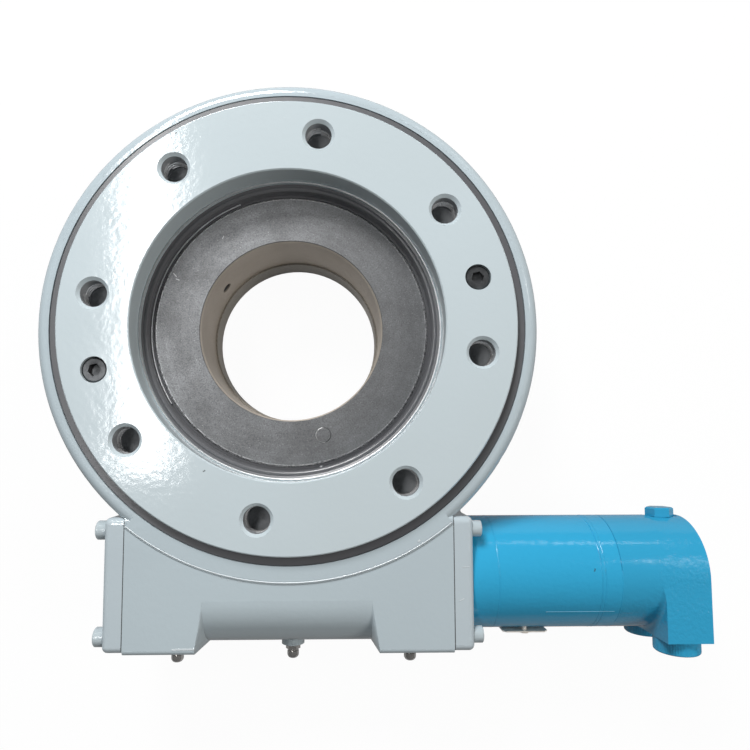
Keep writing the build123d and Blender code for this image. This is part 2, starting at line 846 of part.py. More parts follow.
def cover_fasteners(outside, side, thickness, r, head_r, head, key):
    """The four screws of a cover and the washers under their heads."""
    reach = thickness + gasket_thickness + washer_thickness + cover_screw_reach - cut_past
    screw = socket_screw(r, reach, head_r, head, key)
    seat = Plane(
        origin=(outside + side * washer_thickness, -centre_distance, axis_height),
        x_dir=(0, 1, 0),
        z_dir=(side, 0, 0),
    )
    with BuildPart() as screws:
        with Locations(seat):
            with GridLocations(cover_screw_pitch, cover_screw_pitch, 2, 2):
                add(screw)
    with BuildPart() as washers:
        with BuildSketch(across(outside)):
            with GridLocations(cover_screw_pitch, cover_screw_pitch, 2, 2):
                Circle(head_r)
                Circle(r + screw_gap, mode=Mode.SUBTRACT)
        extrude(amount=side * washer_thickness)
    return screws, washers


# Blank cover at the free end of the worm, with M6 screws
end_cover = bore_cover(cover_face, -1, cover_thickness, m6_r + clearance_hole, 0)
save(end_cover, "end_cover")
save(bore_gasket(cover_face, m6_r + clearance_hole), "end_cover_gasket")
end_cover_screws, end_cover_washers = cover_fasteners(
    cover_outside, -1, cover_thickness, m6_r, m6_head_r, low_head, m6_key
)
save(end_cover_screws, "end_cover_screws")
save(end_cover_washers, "end_cover_washers")

# Plate between the housing and the motor, with M5 screws outside and M6 screws inside
motor_plate = bore_cover(plate_face, 1, plate_thickness, m5_r + clearance_hole, pilot_r + screw_gap)
with BuildPart() as motor_plate_drilled:
    add(motor_plate.part)
    with BuildSketch(across(plate_face)):
        with PolarLocations(mount_screw_circle_r, mount_screw_count):
            Circle(m6_head_r + screw_gap)
    extrude(amount=m6_head, mode=Mode.SUBTRACT)
    with BuildSketch(across(plate_face)):
        with PolarLocations(mount_screw_circle_r, mount_screw_count):
            Circle(m6_r + screw_gap)
    extrude(amount=plate_thickness, mode=Mode.SUBTRACT)
save(motor_plate_drilled, "motor_plate")
save(bore_gasket(block_right, m5_r + clearance_hole), "motor_plate_gasket")
motor_plate_screws, motor_plate_washers = cover_fasteners(
    plate_outside, 1, plate_thickness, m5_r, m5_head_r, low_head, m5_key
)
save(motor_plate_screws, "motor_plate_screws")
save(motor_plate_washers, "motor_plate_washers")

# Screws from inside the plate into the motor front
mount_screw = socket_screw(m6_r, plate_thickness - m6_head + mount_screw_reach, m6_head_r, m6_head, m6_key)
with BuildPart() as motor_mount_screws:
    with Locations(
        Plane(
            origin=(plate_face + m6_head, -centre_distance, axis_height),
            x_dir=(0, 1, 0),
            z_dir=(-1, 0, 0),
        )
    ):
        with PolarLocations(mount_screw_circle_r, mount_screw_count):
            add(mount_screw)
save(motor_mount_screws, "motor_mount_screws")


def motor_disc(start, length):
    """Solid round length of the motor body with a fine bevel at both rims, which shows as a seam."""
    with BuildPart() as disc:
        with BuildSketch(across(start)):
            Circle(motor_r)
        extrude(amount=length)
        chamfer(disc.edges(), length=motor_seam)
    return disc


# Motor front with its pilot in the plate, bored for the shaft
with BuildPart() as motor_front:
    add(motor_disc(plate_outside, motor_front_length).part)
    with BuildSketch(across(plate_outside)):
        Circle(pilot_r)
    extrude(amount=-pilot_length)
    with BuildSketch(across(plate_outside - pilot_length)):
        Circle(motor_shaft_r + running_gap)
    extrude(amount=pilot_length + motor_front_length, mode=Mode.SUBTRACT)
    with BuildSketch(across(plate_outside)):
        with PolarLocations(mount_screw_circle_r, mount_screw_count):
            Circle(m6_r + screw_gap)
    extrude(amount=mount_screw_reach + cut_past, mode=Mode.SUBTRACT)
save(motor_front, "motor_front")

# Main motor housing, drilled for the shaft end and for the nameplate rivets
with BuildPart() as motor_body:
    add(motor_disc(motor_body_x, motor_body_length).part)
    with BuildSketch(across(motor_body_x)):
        Circle(motor_shaft_r + running_gap)
    extrude(amount=motor_shaft_end - motor_body_x + cut_past, mode=Mode.SUBTRACT)
    with BuildSketch(facing_front(motor_r, x=nameplate_x)):
        with GridLocations(0, rivet_pitch, 1, 2):
            Circle(rivet_r)
    extrude(amount=-rivet_depth, mode=Mode.SUBTRACT)
    with BuildSketch(across(motor_spacer_x)):
        with PolarLocations(end_screw_circle_r, end_screw_count, start_angle=45):
            Circle(m6_r + screw_gap)
    extrude(amount=-end_screw_reach - cut_past, mode=Mode.SUBTRACT)
save(motor_body, "motor_body")

# Flat bare plate standing on two rivets in front of the motor body
plate_reach = motor_r + nameplate_gap
with BuildPart() as nameplate:
    with BuildSketch(facing_front(plate_reach, x=nameplate_x)):
        Rectangle(nameplate_length, nameplate_width)
        chamfer(vertices(), length=nameplate_corner)
        with GridLocations(0, rivet_pitch, 1, 2):
            Circle(rivet_r, mode=Mode.SUBTRACT)
    extrude(amount=nameplate_thickness)
save(nameplate, "nameplate")
with BuildPart() as nameplate_rivets:
    with BuildSketch(facing_front(plate_reach + nameplate_thickness, x=nameplate_x)):
        with GridLocations(0, rivet_pitch, 1, 2):
            Circle(rivet_r)
    extrude(amount=-rivet_depth)
    with BuildSketch(facing_front(plate_reach + nameplate_thickness, x=nameplate_x)):
        with GridLocations(0, rivet_pitch, 1, 2):
            Circle(rivet_head_r)
    extrude(amount=rivet_head)
save(nameplate_rivets, "nameplate_rivets")

# Spacer plate and gerotor ring, both pierced by the end screws
for label, start, length in (
    ("motor_spacer_plate", motor_spacer_x, motor_spacer_length),
    ("motor_gerotor_ring", motor_gerotor_x, motor_gerotor_length),
):
    with BuildPart() as slice_of_motor:
        add(motor_disc(start, length).part)
        with BuildSketch(across(start)):
            with PolarLocations(end_screw_circle_r, end_screw_count, start_angle=45):
                Circle(m6_r + screw_gap)
        extrude(amount=length, mode=Mode.SUBTRACT)
    save(slice_of_motor, label)

# Hollow cast fillet that leads the round body out into the square corners of the port block
with BuildPart() as motor_cove:
    with BuildSketch(worm_profile_plane):
        cove_start = motor_block_x - cove_r
        with BuildLine():
            CenterArc((cove_start, motor_r - cove_sink + cove_r), cove_r, start_angle=270, arc_size=90)
            Polyline(
                (motor_block_x, motor_r - cove_sink + cove_r),
                (motor_block_x, motor_r - cut_past),
                (cove_start, motor_r - cut_past),
                (cove_start, motor_r - cove_sink),
            )
        make_face()
    revolve(axis=worm_axis)
    with BuildSketch(across(cove_start)):
        with Locations((-motor_block_reach / 2, 0)):
            Rectangle(motor_block_reach, 2 * motor_block_half)
    extrude(amount=cove_r, mode=Mode.INTERSECT)

# End cover: round at the gerotor, then a flat fronted block that carries both oil ports
with BuildPart() as motor_end_cover:
    add(motor_disc(motor_end_x, motor_end_round_length + motor_seam).part)
    add(motor_cove.part)
    with BuildSketch(across(motor_block_x)):
        Circle(motor_block_half)
        with Locations((-motor_block_reach / 2, 0)):
            Rectangle(motor_block_reach, 2 * motor_block_half)
    extrude(amount=motor_block_length)
    with BuildSketch(facing_front(motor_block_reach, x=port_plug_x)):
        with GridLocations(0, port_plug_pitch, 1, 2):
            Circle(port_plug_shank_r + screw_gap)
    extrude(amount=-port_plug_shank - clearance_hole, mode=Mode.SUBTRACT)
    drain_seat = Plane(
        origin=(drain_plug_x, -centre_distance + motor_block_half - drain_plug_sink, axis_height),
        x_dir=(1, 0, 0),
        z_dir=(0, 1, 0),
    )
    with BuildSketch(drain_seat):
        Circle(drain_plug_seat_r)
    extrude(amount=drain_plug_sink + cut_past, mode=Mode.SUBTRACT)
    with BuildSketch(drain_seat):
        Circle(drain_plug_shank_r + screw_gap)
    extrude(amount=-drain_plug_shank - clearance_hole, mode=Mode.SUBTRACT)
    with BuildSketch(across(motor_end)):
        with PolarLocations(end_screw_circle_r, end_screw_count, start_angle=45):
            Circle(m6_head_r + screw_gap)
    extrude(amount=-m6_head, mode=Mode.SUBTRACT)
    with BuildSketch(across(motor_end_x)):
        with PolarLocations(end_screw_circle_r, end_screw_count, start_angle=45):
            Circle(m6_r + screw_gap)
    extrude(amount=motor_end - motor_end_x, mode=Mode.SUBTRACT)
save(motor_end_cover, "motor_end_cover")

# Long screws through the end cover into the motor body
end_screw_length = motor_end - m6_head - motor_spacer_x + end_screw_reach
end_screw = socket_screw(m6_r, end_screw_length, m6_head_r, m6_head, m6_key)
with BuildPart() as motor_end_screws:
    with Locations(across(motor_end - m6_head)):
        with PolarLocations(end_screw_circle_r, end_screw_count, start_angle=45):
            add(end_screw)
save(motor_end_screws, "motor_end_screws")

# Plugs in the two oil ports and in the case drain
with BuildPart() as port_plugs:
    with BuildSketch(facing_front(motor_block_reach, x=port_plug_x)):
        with GridLocations(0, port_plug_pitch, 1, 2):
            Circle(port_plug_r)
    extrude(amount=port_plug_height)
    chamfer(port_plugs.edges().group_by(Axis.Y)[0], length=port_plug_edge)
    with BuildSketch(facing_front(motor_block_reach, x=port_plug_x)):
        with GridLocations(0, port_plug_pitch, 1, 2):
            Circle(port_plug_shank_r)
    extrude(amount=-port_plug_shank)
save(port_plugs, "port_plugs")
with BuildPart() as drain_plug:
    with BuildSketch(drain_seat):
        RegularPolygon(
            radius=drain_plug_across_flats / 2,
            side_count=6,
            major_radius=False,
            rotation=drain_plug_turn,
        )
    extrude(amount=drain_plug_height)
    chamfer(drain_plug.edges().group_by(Axis.Y)[-1], length=drain_plug_edge)
    with BuildSketch(drain_seat):
        Circle(drain_plug_shank_r)
    extrude(amount=-drain_plug_shank)
save(drain_plug, "drain_plug")

# Motor shaft and the key that drives the worm
with BuildPart() as motor_shaft:
    with BuildSketch(across(motor_shaft_start)):
        Circle(motor_shaft_r)
    extrude(amount=motor_shaft_end - motor_shaft_start)
    with BuildSketch(across(key_x - key_length / 2)):
        with Locations((0, motor_shaft_r)):
            Rectangle(key_width, key_height)
    extrude(amount=key_length, mode=Mode.SUBTRACT)
save(motor_shaft, "motor_shaft")
with BuildPart() as motor_shaft_key:
    with BuildSketch(across(key_x - key_length / 2)):
        with Locations((0, motor_shaft_r)):
            Rectangle(key_width, key_height)
    extrude(amount=key_length)
save(motor_shaft_key, "motor_shaft_key")
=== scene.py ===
"""Looks of an enclosed slewing drive: finishes, fine parts, studio light and camera."""

import json
import logging
import math
from dataclasses import dataclass, field
from enum import Enum
from typing import Any, Callable, Sequence, Union

import bpy
from mathutils import Matrix, Vector

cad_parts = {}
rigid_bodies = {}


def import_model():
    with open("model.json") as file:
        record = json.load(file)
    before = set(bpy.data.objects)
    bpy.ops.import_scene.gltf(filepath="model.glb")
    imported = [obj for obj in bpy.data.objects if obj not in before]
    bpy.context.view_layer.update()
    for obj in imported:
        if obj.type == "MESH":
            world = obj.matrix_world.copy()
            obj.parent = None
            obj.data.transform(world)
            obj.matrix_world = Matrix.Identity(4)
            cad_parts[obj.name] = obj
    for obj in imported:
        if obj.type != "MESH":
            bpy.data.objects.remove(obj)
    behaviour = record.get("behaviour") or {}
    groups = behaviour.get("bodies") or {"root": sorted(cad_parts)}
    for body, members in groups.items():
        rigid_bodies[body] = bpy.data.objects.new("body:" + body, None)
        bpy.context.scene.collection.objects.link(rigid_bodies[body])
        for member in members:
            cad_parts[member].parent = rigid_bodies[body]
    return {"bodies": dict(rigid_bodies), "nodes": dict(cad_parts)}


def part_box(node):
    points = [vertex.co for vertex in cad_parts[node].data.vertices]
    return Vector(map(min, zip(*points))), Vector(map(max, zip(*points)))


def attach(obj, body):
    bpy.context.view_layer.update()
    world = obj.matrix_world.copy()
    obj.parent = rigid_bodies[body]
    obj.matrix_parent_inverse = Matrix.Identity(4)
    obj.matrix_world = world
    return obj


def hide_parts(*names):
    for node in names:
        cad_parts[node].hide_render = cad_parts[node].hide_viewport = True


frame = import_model()

log = logging.getLogger("slewing_drive")

MM: float = 0.001
Rgb = tuple[float, float, float]
Point = tuple[float, float, float]
WHITE: tuple[float, float, float, float] = (1.0, 1.0, 1.0, 1.0)
ALONG_X: Point = (0.0, math.pi / 2, 0.0)
ALONG_Y: Point = (math.pi / 2, 0.0, 0.0)


class Slot(Enum):
    """The record's finishes that new pieces belong to."""

    HOUSING = "housing_paint"
    RING = "ring_paint"
    MOTOR = "motor_paint"
    INNER_RING = "bare_ring_steel"
    SEAL = "seal_rubber"
    BLACK_SCREW = "black_screw_steel"
    NIPPLE = "nipple_chrome"


class Join(Enum):
    """What a tool does to a piece."""

    ADD = "UNION"
    CUT = "DIFFERENCE"
    TRIM = "INTERSECT"


class Body(Enum):
    """The bodies that fine parts ride on."""

    HOUSING = "housing"
    RING = "rotating_ring"


def linear(colour: Rgb) -> tuple[float, float, float, float]:
    """Turns a display colour into the linear colour that a shader socket takes.

    Args:
        colour: red, green and blue as shown on a screen, from 0 to 255.

    Returns:
        The linear colour with an alpha of 1.
    """
    parts = [c / 255 for c in colour]
    out = [c / 12.92 if c <= 0.04045 else ((c + 0.055) / 1.055) ** 2.4 for c in parts]
    return (out[0], out[1], out[2], 1.0)


def around(radius: float, angle: float, height: float) -> Vector:
    """The point at a radius and an angle in radians about the slewing axis."""
    return Vector((radius * math.cos(angle), radius * math.sin(angle), height))


# Shader writing


class Value:
    """One output socket of a shader node, on which Python's operators add Math nodes."""

    def __init__(self, graph: "Graph", socket: bpy.types.NodeSocket) -> None:
        """Keeps the graph and the socket."""
        self.graph = graph
        self.socket = socket

    def _math(self, operation: str, first: "Operand", second: "Operand") -> "Value":
        """Adds one Math node on two operands."""
        return self.graph.add("ShaderNodeMath", {"operation": operation}, {0: first, 1: second})

    def __add__(self, other: "Operand") -> "Value":
        """Sum."""
        return self._math("ADD", self, other)

    __radd__ = __add__

    def __sub__(self, other: "Operand") -> "Value":
        """Difference."""
        return self._math("SUBTRACT", self, other)

    def __rsub__(self, other: "Operand") -> "Value":
        """Difference with the number on the left."""
        return self._math("SUBTRACT", other, self)

    def __mul__(self, other: "Operand") -> "Value":
        """Product."""
        return self._math("MULTIPLY", self, other)

    __rmul__ = __mul__

    def __pow__(self, other: "Operand") -> "Value":
        """Power."""
        return self._math("POWER", self, other)

    def sine(self) -> "Value":
        """Sine of the value in radians."""
        return self._math("SINE", self, 0.0)

    def span(self, low: float, high: float) -> "Value":
        """Smooth step that is 0 at low and 1 at high.

        Args:
            low: the value that becomes 0.
            high: the value that becomes 1; below low the step falls.

        Returns:
            The step.
        """
        rising = float(low < high)
        sockets = {"Value": self, "From Min": min(low, high), "From Max": max(low, high),
                   "To Min": 1.0 - rising, "To Max": rising}
        return self.graph.add("ShaderNodeMapRange", {"interpolation_type": "SMOOTHSTEP"}, sockets)


Operand = Union[Value, float]


class Graph:
    """The node tree of a material or world, with the few calls that its makers use."""

    def __init__(self, owner: bpy.types.Material | bpy.types.World) -> None:
        """Empties the tree.

        Args:
            owner: the new material or world.
        """
        owner.use_nodes = True
        self.owner = owner
        self.tree = owner.node_tree
        self.tree.nodes.clear()

    def add(self, kind: str, settings: dict[str, Any] | None = None, sockets: dict[Any, Any] | None = None,
            out: int | str = 0) -> Value:
        """Adds one node.

        Args:
            kind: the node's type.
            settings: what is set on the node first.
            sockets: values or links of its input sockets, by name or number.
            out: the output socket that is returned.

        Returns:
            The output socket.
        """
        node = self.tree.nodes.new(kind)
        for key, setting in (settings or {}).items():
            setattr(node, key, setting)
        for key, value in (sockets or {}).items():
            if isinstance(value, Value):
                self.tree.links.new(value.socket, node.inputs[key])
            else:
                node.inputs[key].default_value = value
        return Value(self, node.outputs[out])

    def place(self) -> Value:
        """The point on the piece, in metres."""
        return self.add("ShaderNodeTexCoord", out="Object")

    def parts(self, vector: Value) -> tuple[Value, Value, Value]:
        """The three parts of a vector."""
        outputs = self.add("ShaderNodeSeparateXYZ", None, {0: vector}).socket.node.outputs
        return (Value(self, outputs[0]), Value(self, outputs[1]), Value(self, outputs[2]))

    def noise(self, scale: float, detail: float = 2.0, roughness: float = 0.5) -> Value:
        """Noise from 0 to 1, with lumps per metre, the number of finer layers and their strength."""
        sockets = {"Vector": self.place(), "Scale": scale, "Detail": detail, "Roughness": roughness}
        return self.add("ShaderNodeTexNoise", None, sockets)

    def cells(self, scale: float) -> Value:
        """Distance to the nearest of points that are strewn at a density per metre."""
        return self.add("ShaderNodeTexVoronoi", None, {"Vector": self.place(), "Scale": scale})

    def mix(self, share: Operand, first: Any, second: Any) -> Value:
        """Mixes two colours by the share of the second; three numbers are a display colour."""
        ends = [linear(end) if isinstance(end, tuple) and len(end) == 3 else end for end in (first, second)]
        return self.add("ShaderNodeMix", {"data_type": "RGBA"}, {0: share, 6: ends[0], 7: ends[1]}, out=2)

    def bump(self, height: Value, depth: float, below: Value | None = None) -> Value:
        """Bends the shading by a height.

        Args:
            height: from 0 to 1.
            depth: what a height of 1 means, in metres.
            below: a bend that this one goes on.

        Returns:
            The normal.
        """
        sockets: dict[Any, Any] = {"Strength": 1.0, "Distance": depth, "Height": height}
        if below is not None:
            sockets["Normal"] = below
        return self.add("ShaderNodeBump", None, sockets)

    def finish(self, **sockets: Any) -> bpy.types.Material:
        """Ends the tree in one surface shader.

        Args:
            **sockets: the shader's sockets, with spaces written as underlines.

        Returns:
            The material.
        """
        named = {key.replace("_", " "): value for key, value in sockets.items()}
        self.add_output(self.add("ShaderNodeBsdfPrincipled", None, named))
        return self.owner

    def add_output(self, surface: Value, kind: str = "ShaderNodeOutputMaterial") -> None:
        """Leads a shader to an output node of a kind."""
        output = self.tree.nodes.new(kind)
        self.tree.links.new(surface.socket, output.inputs["Surface"])


# Finishes


@dataclass(frozen=True)
class Mark:
    """One straight mark on a piece, seen from above: middle, direction and size, in millimetres."""

    x: float
    y: float
    turn: float
    length: float
    width: float

    def on(self, g: Graph) -> Value:
        """Makes its mask, ragged at its edges.

        Args:
            g: the finish that is being made.

        Returns:
            1 in the mark and 0 outside it.
        """
        x, y, _ = g.parts(g.place())
        right, up = x - self.x * MM, y - self.y * MM
        along = Vector((math.cos(math.radians(self.turn)), math.sin(math.radians(self.turn))))
        ragged = (g.noise(2500.0, 2.0) - 0.5) * (self.width * MM)
        run = right * along.x + up * along.y
        off = up * along.x - right * along.y + ragged
        inside = (run * run).span((self.length * MM / 2) ** 2, (self.length * MM / 2.6) ** 2)
        return inside * (off * off).span((self.width * MM / 2) ** 2, (self.width * MM / 5) ** 2)


@dataclass(frozen=True)
class GlossPaint:
    """Sprayed enamel with orange peel, drifts of colour, nib bumps, sags and a hard gloss; nib bumps and
    lumps are tinted paler as painted highlights.
    """

    name: str
    colour: Rgb
    shade: Rgb
    peel: float = 0.00006
    peel_scale: float = 330.0
    gloss: float = 0.08
    shine: float = 0.8
    cast: float = 0.0
    bare_radius: float = 0.0
    bare_top: float = 0.0
    bare_colour: Rgb = (139, 135, 128)
    bare_edge: float = 0.00002
    bare_pitch: float = 0.0009
    highlight_lumps: tuple[Mark, ...] = ()
    dark_marks: tuple[Mark, ...] = ()

    def make(self) -> bpy.types.Material:
        """Builds the material.

        Returns:
            The material.
        """
        g = Graph(bpy.data.materials.new(self.name))
        drift = g.noise(7.0, 3.0, 0.55).span(0.35, 0.68)
        fine = g.noise(1400.0, 2.0).span(0.2, 0.8)
        nibs_and_highlights = g.cells(90.0).span(0.03, 0.0) * g.noise(40.0).span(0.5, 0.62)
        colour = g.mix(drift * 0.5, self.colour, self.shade)
        colour = g.mix(fine * 0.05, colour, self.shade)
        # the nib bumps are real; their paler tint is a painted highlight
        colour = g.mix(nibs_and_highlights * 0.3, colour, (0.9, 0.92, 0.93, 1.0))
        peel = g.noise(self.peel_scale, 2.0, 0.45)
        waves = g.noise(60.0, 2.0, 0.5)
        height = peel + waves * 1.2 + nibs_and_highlights * 0.9
        # lumps and lines of paint: real bumps, tinted paler as painted highlights
        for mark in self.highlight_lumps:
            lump_highlight = mark.on(g)
            height = height + lump_highlight * 2.5
            colour = g.mix(lump_highlight * 0.35, colour, (0.86, 0.89, 0.9, 1.0))
        for mark in self.dark_marks:
            colour = g.mix(mark.on(g) * 0.8, colour, (52, 50, 50))
        rough = self.gloss + g.noise(45.0, 3.0) * 0.07
        normal = g.bump(height, self.peel)
        if self.cast:
            patches = g.noise(38.0, 2.0).span(0.42, 0.62)
            normal = g.bump(g.noise(420.0, 3.0, 0.55) * patches, self.cast, normal)
        if self.bare_radius:
            colour, rough = self.bare_metal(g, colour, rough)
        return g.finish(Base_Color=colour, Roughness=rough, Normal=normal, Specular_IOR_Level=self.shine)

    def bare_metal(self, g: Graph, colour: Value, rough: Value) -> tuple[Value, Value]:
        """Leaves the machined bore and the mounting face without paint.

        Args:
            g: the finish that is being made.
            colour: the paint's colour.
            rough: the paint's roughness.

        Returns:
            Colour and roughness of paint and metal together.
        """
        x, y, z = g.parts(g.place())
        radius = (x * x + y * y) ** 0.5
        bore = radius.span(self.bare_radius + self.bare_edge, self.bare_radius)
        bore = bore * z.span(self.bare_top + self.bare_edge, self.bare_top)
        seat = z.span(2 * self.bare_edge, self.bare_edge)
        bare = 1.0 - (1.0 - bore) * (1.0 - seat)
        turning = (radius * (math.tau / self.bare_pitch) + g.noise(80.0) * 3.0).sine() * 0.5 + 0.5
        grain = g.noise(700.0, 4.0, 0.6).span(0.3, 0.7)
        metal = g.mix(grain * 0.5 + turning * 0.1, self.bare_colour, (104, 96, 84))
        return g.mix(bare, colour, metal), rough + bare * 0.25


@dataclass(frozen=True)
class TurnedSteel:
    """Bare turned and hardened steel: fine speckle with painted glints, faint turning marks, a rim with wear
    and painted glints, and an oily bore wall.
    """

    name: str
    light: Rgb
    dark: Rgb
    wall: Rgb
    wall_radius: float
    wall_top: float
    rim_radius: float
    pitch: float = 0.0006
    band_pitch: float = 0.0047
    scratches: tuple[Mark, ...] = ()

    def make(self) -> bpy.types.Material:
        """Builds the material.

        Returns:
            The material.
        """
        g = Graph(bpy.data.materials.new(self.name))
        x, y, z = g.parts(g.place())
        radius = (x * x + y * y) ** 0.5
        cloud = g.noise(55.0, 6.0, 0.62).span(0.3, 0.72)
        speck = g.noise(1300.0, 4.0, 0.75).span(0.46, 0.62)
        pits = g.noise(1900.0, 2.0, 0.6).span(0.4, 0.3)
        wobble = g.noise(90.0, 2.0) * 2.5
        rings = (radius * (math.tau / self.pitch) + wobble).sine() * 0.5 + 0.5
        bands = (radius * (math.tau / self.band_pitch) + wobble).sine() * 0.5 + 0.5
        colour = g.mix(cloud * 0.5, self.light, self.dark)
        colour = g.mix(speck * 0.5, colour, self.dark)
        colour = g.mix(pits * 0.5, colour, (46, 45, 44))
        # pale specks: painted glints
        painted_glint = g.noise(1500.0, 2.0, 0.7).span(0.62, 0.7)
        colour = g.mix(painted_glint * 0.35, colour, (214, 214, 214))
        colour = g.mix(rings * 0.08, colour, self.dark)
        colour = g.mix(bands * 0.1, colour, self.dark)
        # the rim's pale patches are partly wear and partly painted glints
        wear_and_glint_patches = g.noise(900.0, 3.0, 0.7).span(0.44, 0.54)
        rim = radius.span(self.rim_radius - 0.0009, self.rim_radius - 0.0001) * wear_and_glint_patches
        colour = g.mix(rim * 0.85, colour, (225, 226, 228))
        for scratch in self.scratches:
            colour = g.mix(scratch.on(g) * 0.9, colour, (205, 206, 208))
        rough = 0.36 + cloud * 0.1 + speck * 0.12 - rim * 0.2
        wall = radius.span(self.wall_radius + 0.0004, self.wall_radius)
        wall = wall * z.span(self.wall_top, self.wall_top - 0.0003)
        smear = g.noise(60.0, 5.0, 0.6)
        colour = g.mix(wall, colour, g.mix(smear * 0.6, self.wall, (160, 151, 140)))
        height = g.noise(620.0, 5.0, 0.7) + rings * 0.15
        return g.finish(Base_Color=colour, Roughness=rough, Metallic=0.55, Normal=g.bump(height, 0.00011))


@dataclass(frozen=True)
class PlainSteel:
    """Machined or blackened steel with grain, scuffs and a light film of oil."""

    name: str
    light: Rgb
    dark: Rgb
    gloss: float = 0.3
    metal: float = 1.0
    grain: float = 600.0
    depth: float = 0.00003

    def make(self) -> bpy.types.Material:
        """Builds the material.

        Returns:
            The material.
        """
        g = Graph(bpy.data.materials.new(self.name))
        cloud = g.noise(120.0, 4.0, 0.6).span(0.35, 0.7)
        speck = g.noise(self.grain * 2.5, 3.0, 0.7).span(0.45, 0.7)
        colour = g.mix(cloud, self.light, self.dark)
        colour = g.mix(speck * 0.25, colour, self.light)
        rough = self.gloss + cloud * 0.12
        height = g.noise(self.grain, 4.0, 0.6)
        normal = g.bump(height, self.depth)
        return g.finish(Base_Color=colour, Roughness=rough, Metallic=self.metal, Normal=normal)


@dataclass(frozen=True)
class SoftRubber:
    """Moulded nitrile rubber: dark, slightly dusty, with fine pores and an oily gleam."""

    name: str
    colour: Rgb
    dust: Rgb
    gloss: float = 0.3
    oil: float = 0.6

    def make(self) -> bpy.types.Material:
        """Builds the material.

        Returns:
            The material.
        """
        g = Graph(bpy.data.materials.new(self.name))
        dust = g.noise(240.0, 5.0, 0.65).span(0.5, 0.78)
        colour = g.mix(dust * 0.05, self.colour, self.dust)
        rough = self.gloss + dust * 0.2
        height = g.noise(900.0, 3.0, 0.6)
        return g.finish(Base_Color=colour, Roughness=rough, Normal=g.bump(height, 0.00001),
                        Coat_Weight=self.oil, Coat_Roughness=0.18)


@dataclass(frozen=True)
class DullSheet:
    """Gasket paper or moulded nylon: matt, with flecks."""

    name: str
    colour: Rgb
    fleck: Rgb
    gloss: float = 0.7

    def make(self) -> bpy.types.Material:
        """Builds the material.

        Returns:
            The material.
        """
        g = Graph(bpy.data.materials.new(self.name))
        flecks = g.noise(1100.0, 4.0, 0.7).span(0.5, 0.68)
        colour = g.mix(flecks * 0.6, self.colour, self.fleck)
        height = g.noise(800.0, 3.0, 0.6)
        return g.finish(Base_Color=colour, Roughness=self.gloss, Normal=g.bump(height, 0.00003))


Finish = Union[GlossPaint, TurnedSteel, PlainSteel, SoftRubber, DullSheet]

# paint nibs, a sag and glints along the rim step: bumps, tinted paler as painted highlights
HOUSING_NIB_HIGHLIGHTS = (Mark(-33.1, -129.8, -14.0, 1.4, 0.7), Mark(-30.0, -130.8, -12.0, 0.8, 0.6),
                Mark(-24.0, -131.8, -10.0, 2.0, 0.5), Mark(66.9, -111.7, 40.0, 1.6, 1.2),
                Mark(-52.0, -165.0, 1.0, 13.0, 1.3))
RING_SPECKS = (Mark(-59.3, 100.7, 40.0, 1.2, 0.7), Mark(-41.8, -75.7, 20.0, 1.5, 0.8))
# paint lines on the cover: bumps, tinted paler as painted highlights
COVER_LINE_HIGHLIGHTS = (Mark(90.9, -125.1, 4.0, 4.4, 0.5), Mark(88.6, -141.5, 30.0, 3.4, 0.5))
RING_SCRATCHES = (Mark(-64.1, 30.7, -50.0, 3.2, 0.5), Mark(-62.6, 28.2, -20.0, 2.4, 0.45),
                  Mark(-38.0, 52.0, 60.0, 2.2, 0.4))
MOTOR_CHIPS = (Mark(158.8, -127.8, 70.0, 1.8, 0.8),)

FINISHES: tuple[Finish, ...] = (
    GlossPaint("housing_paint", (176, 189, 195), (169, 181, 187), cast=0.00005, bare_radius=0.0499,
               bare_top=0.0174, highlight_lumps=HOUSING_NIB_HIGHLIGHTS),
    GlossPaint("ring_paint", (187, 199, 204), (182, 193, 197), dark_marks=RING_SPECKS),
    # paler motor paint for the parting line: painted reflection of the floor
    GlossPaint("motor_line_paint", (128, 190, 217), (70, 160, 196), peel=0.00006, peel_scale=900.0),
    # paler housing paint for the upper rim line: painted highlight
    GlossPaint("bright_line_paint", (216, 224, 228), (200, 209, 213), peel=0.00003),
    GlossPaint("cover_paint", (179, 191, 197), (173, 184, 190), highlight_lumps=COVER_LINE_HIGHLIGHTS),
    GlossPaint("painted_screws", (177, 188, 193), (163, 175, 180), peel=0.00004, peel_scale=800.0),
    GlossPaint("motor_paint", (48, 160, 203), (42, 151, 194), peel=0.00012, peel_scale=420.0, gloss=0.1,
               dark_marks=MOTOR_CHIPS),
    # slightly darker copy of the motor paint, with a cast texture: painted shade on the end cover and plugs
    GlossPaint("motor_cast_paint", (49, 157, 198), (42, 145, 186), peel=0.00005, peel_scale=420.0, gloss=0.1,
               cast=0.00026),
    TurnedSteel("bare_ring_steel", (133, 135, 137), (80, 80, 81), (200, 191, 180), 0.0499, 0.0546, 0.0741,
                scratches=RING_SCRATCHES),
    PlainSteel("bearing_steel", (198, 200, 203), (170, 172, 176), 0.14),
    PlainSteel("worm_steel", (176, 174, 170), (140, 138, 134), 0.24),
    SoftRubber("seal_rubber", (88, 89, 92), (112, 112, 114)),
    PlainSteel("black_screw_steel", (92, 94, 96), (52, 54, 56), 0.36, 0.6, 900.0, 0.00005),
    PlainSteel("nipple_chrome", (222, 219, 216), (180, 178, 175), 0.14, 0.85, 900.0, 0.00001),
    PlainSteel("plate_metal", (246, 242, 234), (230, 224, 214), 0.3, 0.1, 800.0, 0.00004),
    DullSheet("gasket_paper", (74, 78, 80), (120, 122, 122)),
    DullSheet("spacer_plastic", (222, 214, 190), (200, 190, 164), 0.45),
    PlainSteel("drilled_steel", (146, 149, 152), (120, 123, 126), 0.5, 0.0, 700.0, 0.00003),
    # near white steel for the bore edge line and the seal lip line: painted highlight
    PlainSteel("worn_edge_steel", (236, 237, 238), (216, 218, 220), 0.36, 0.9, 300.0, 0.000002),
    PlainSteel("cut_thread_steel", (224, 224, 224), (184, 184, 184), 0.2, 0.7, 900.0, 0.00003),
)


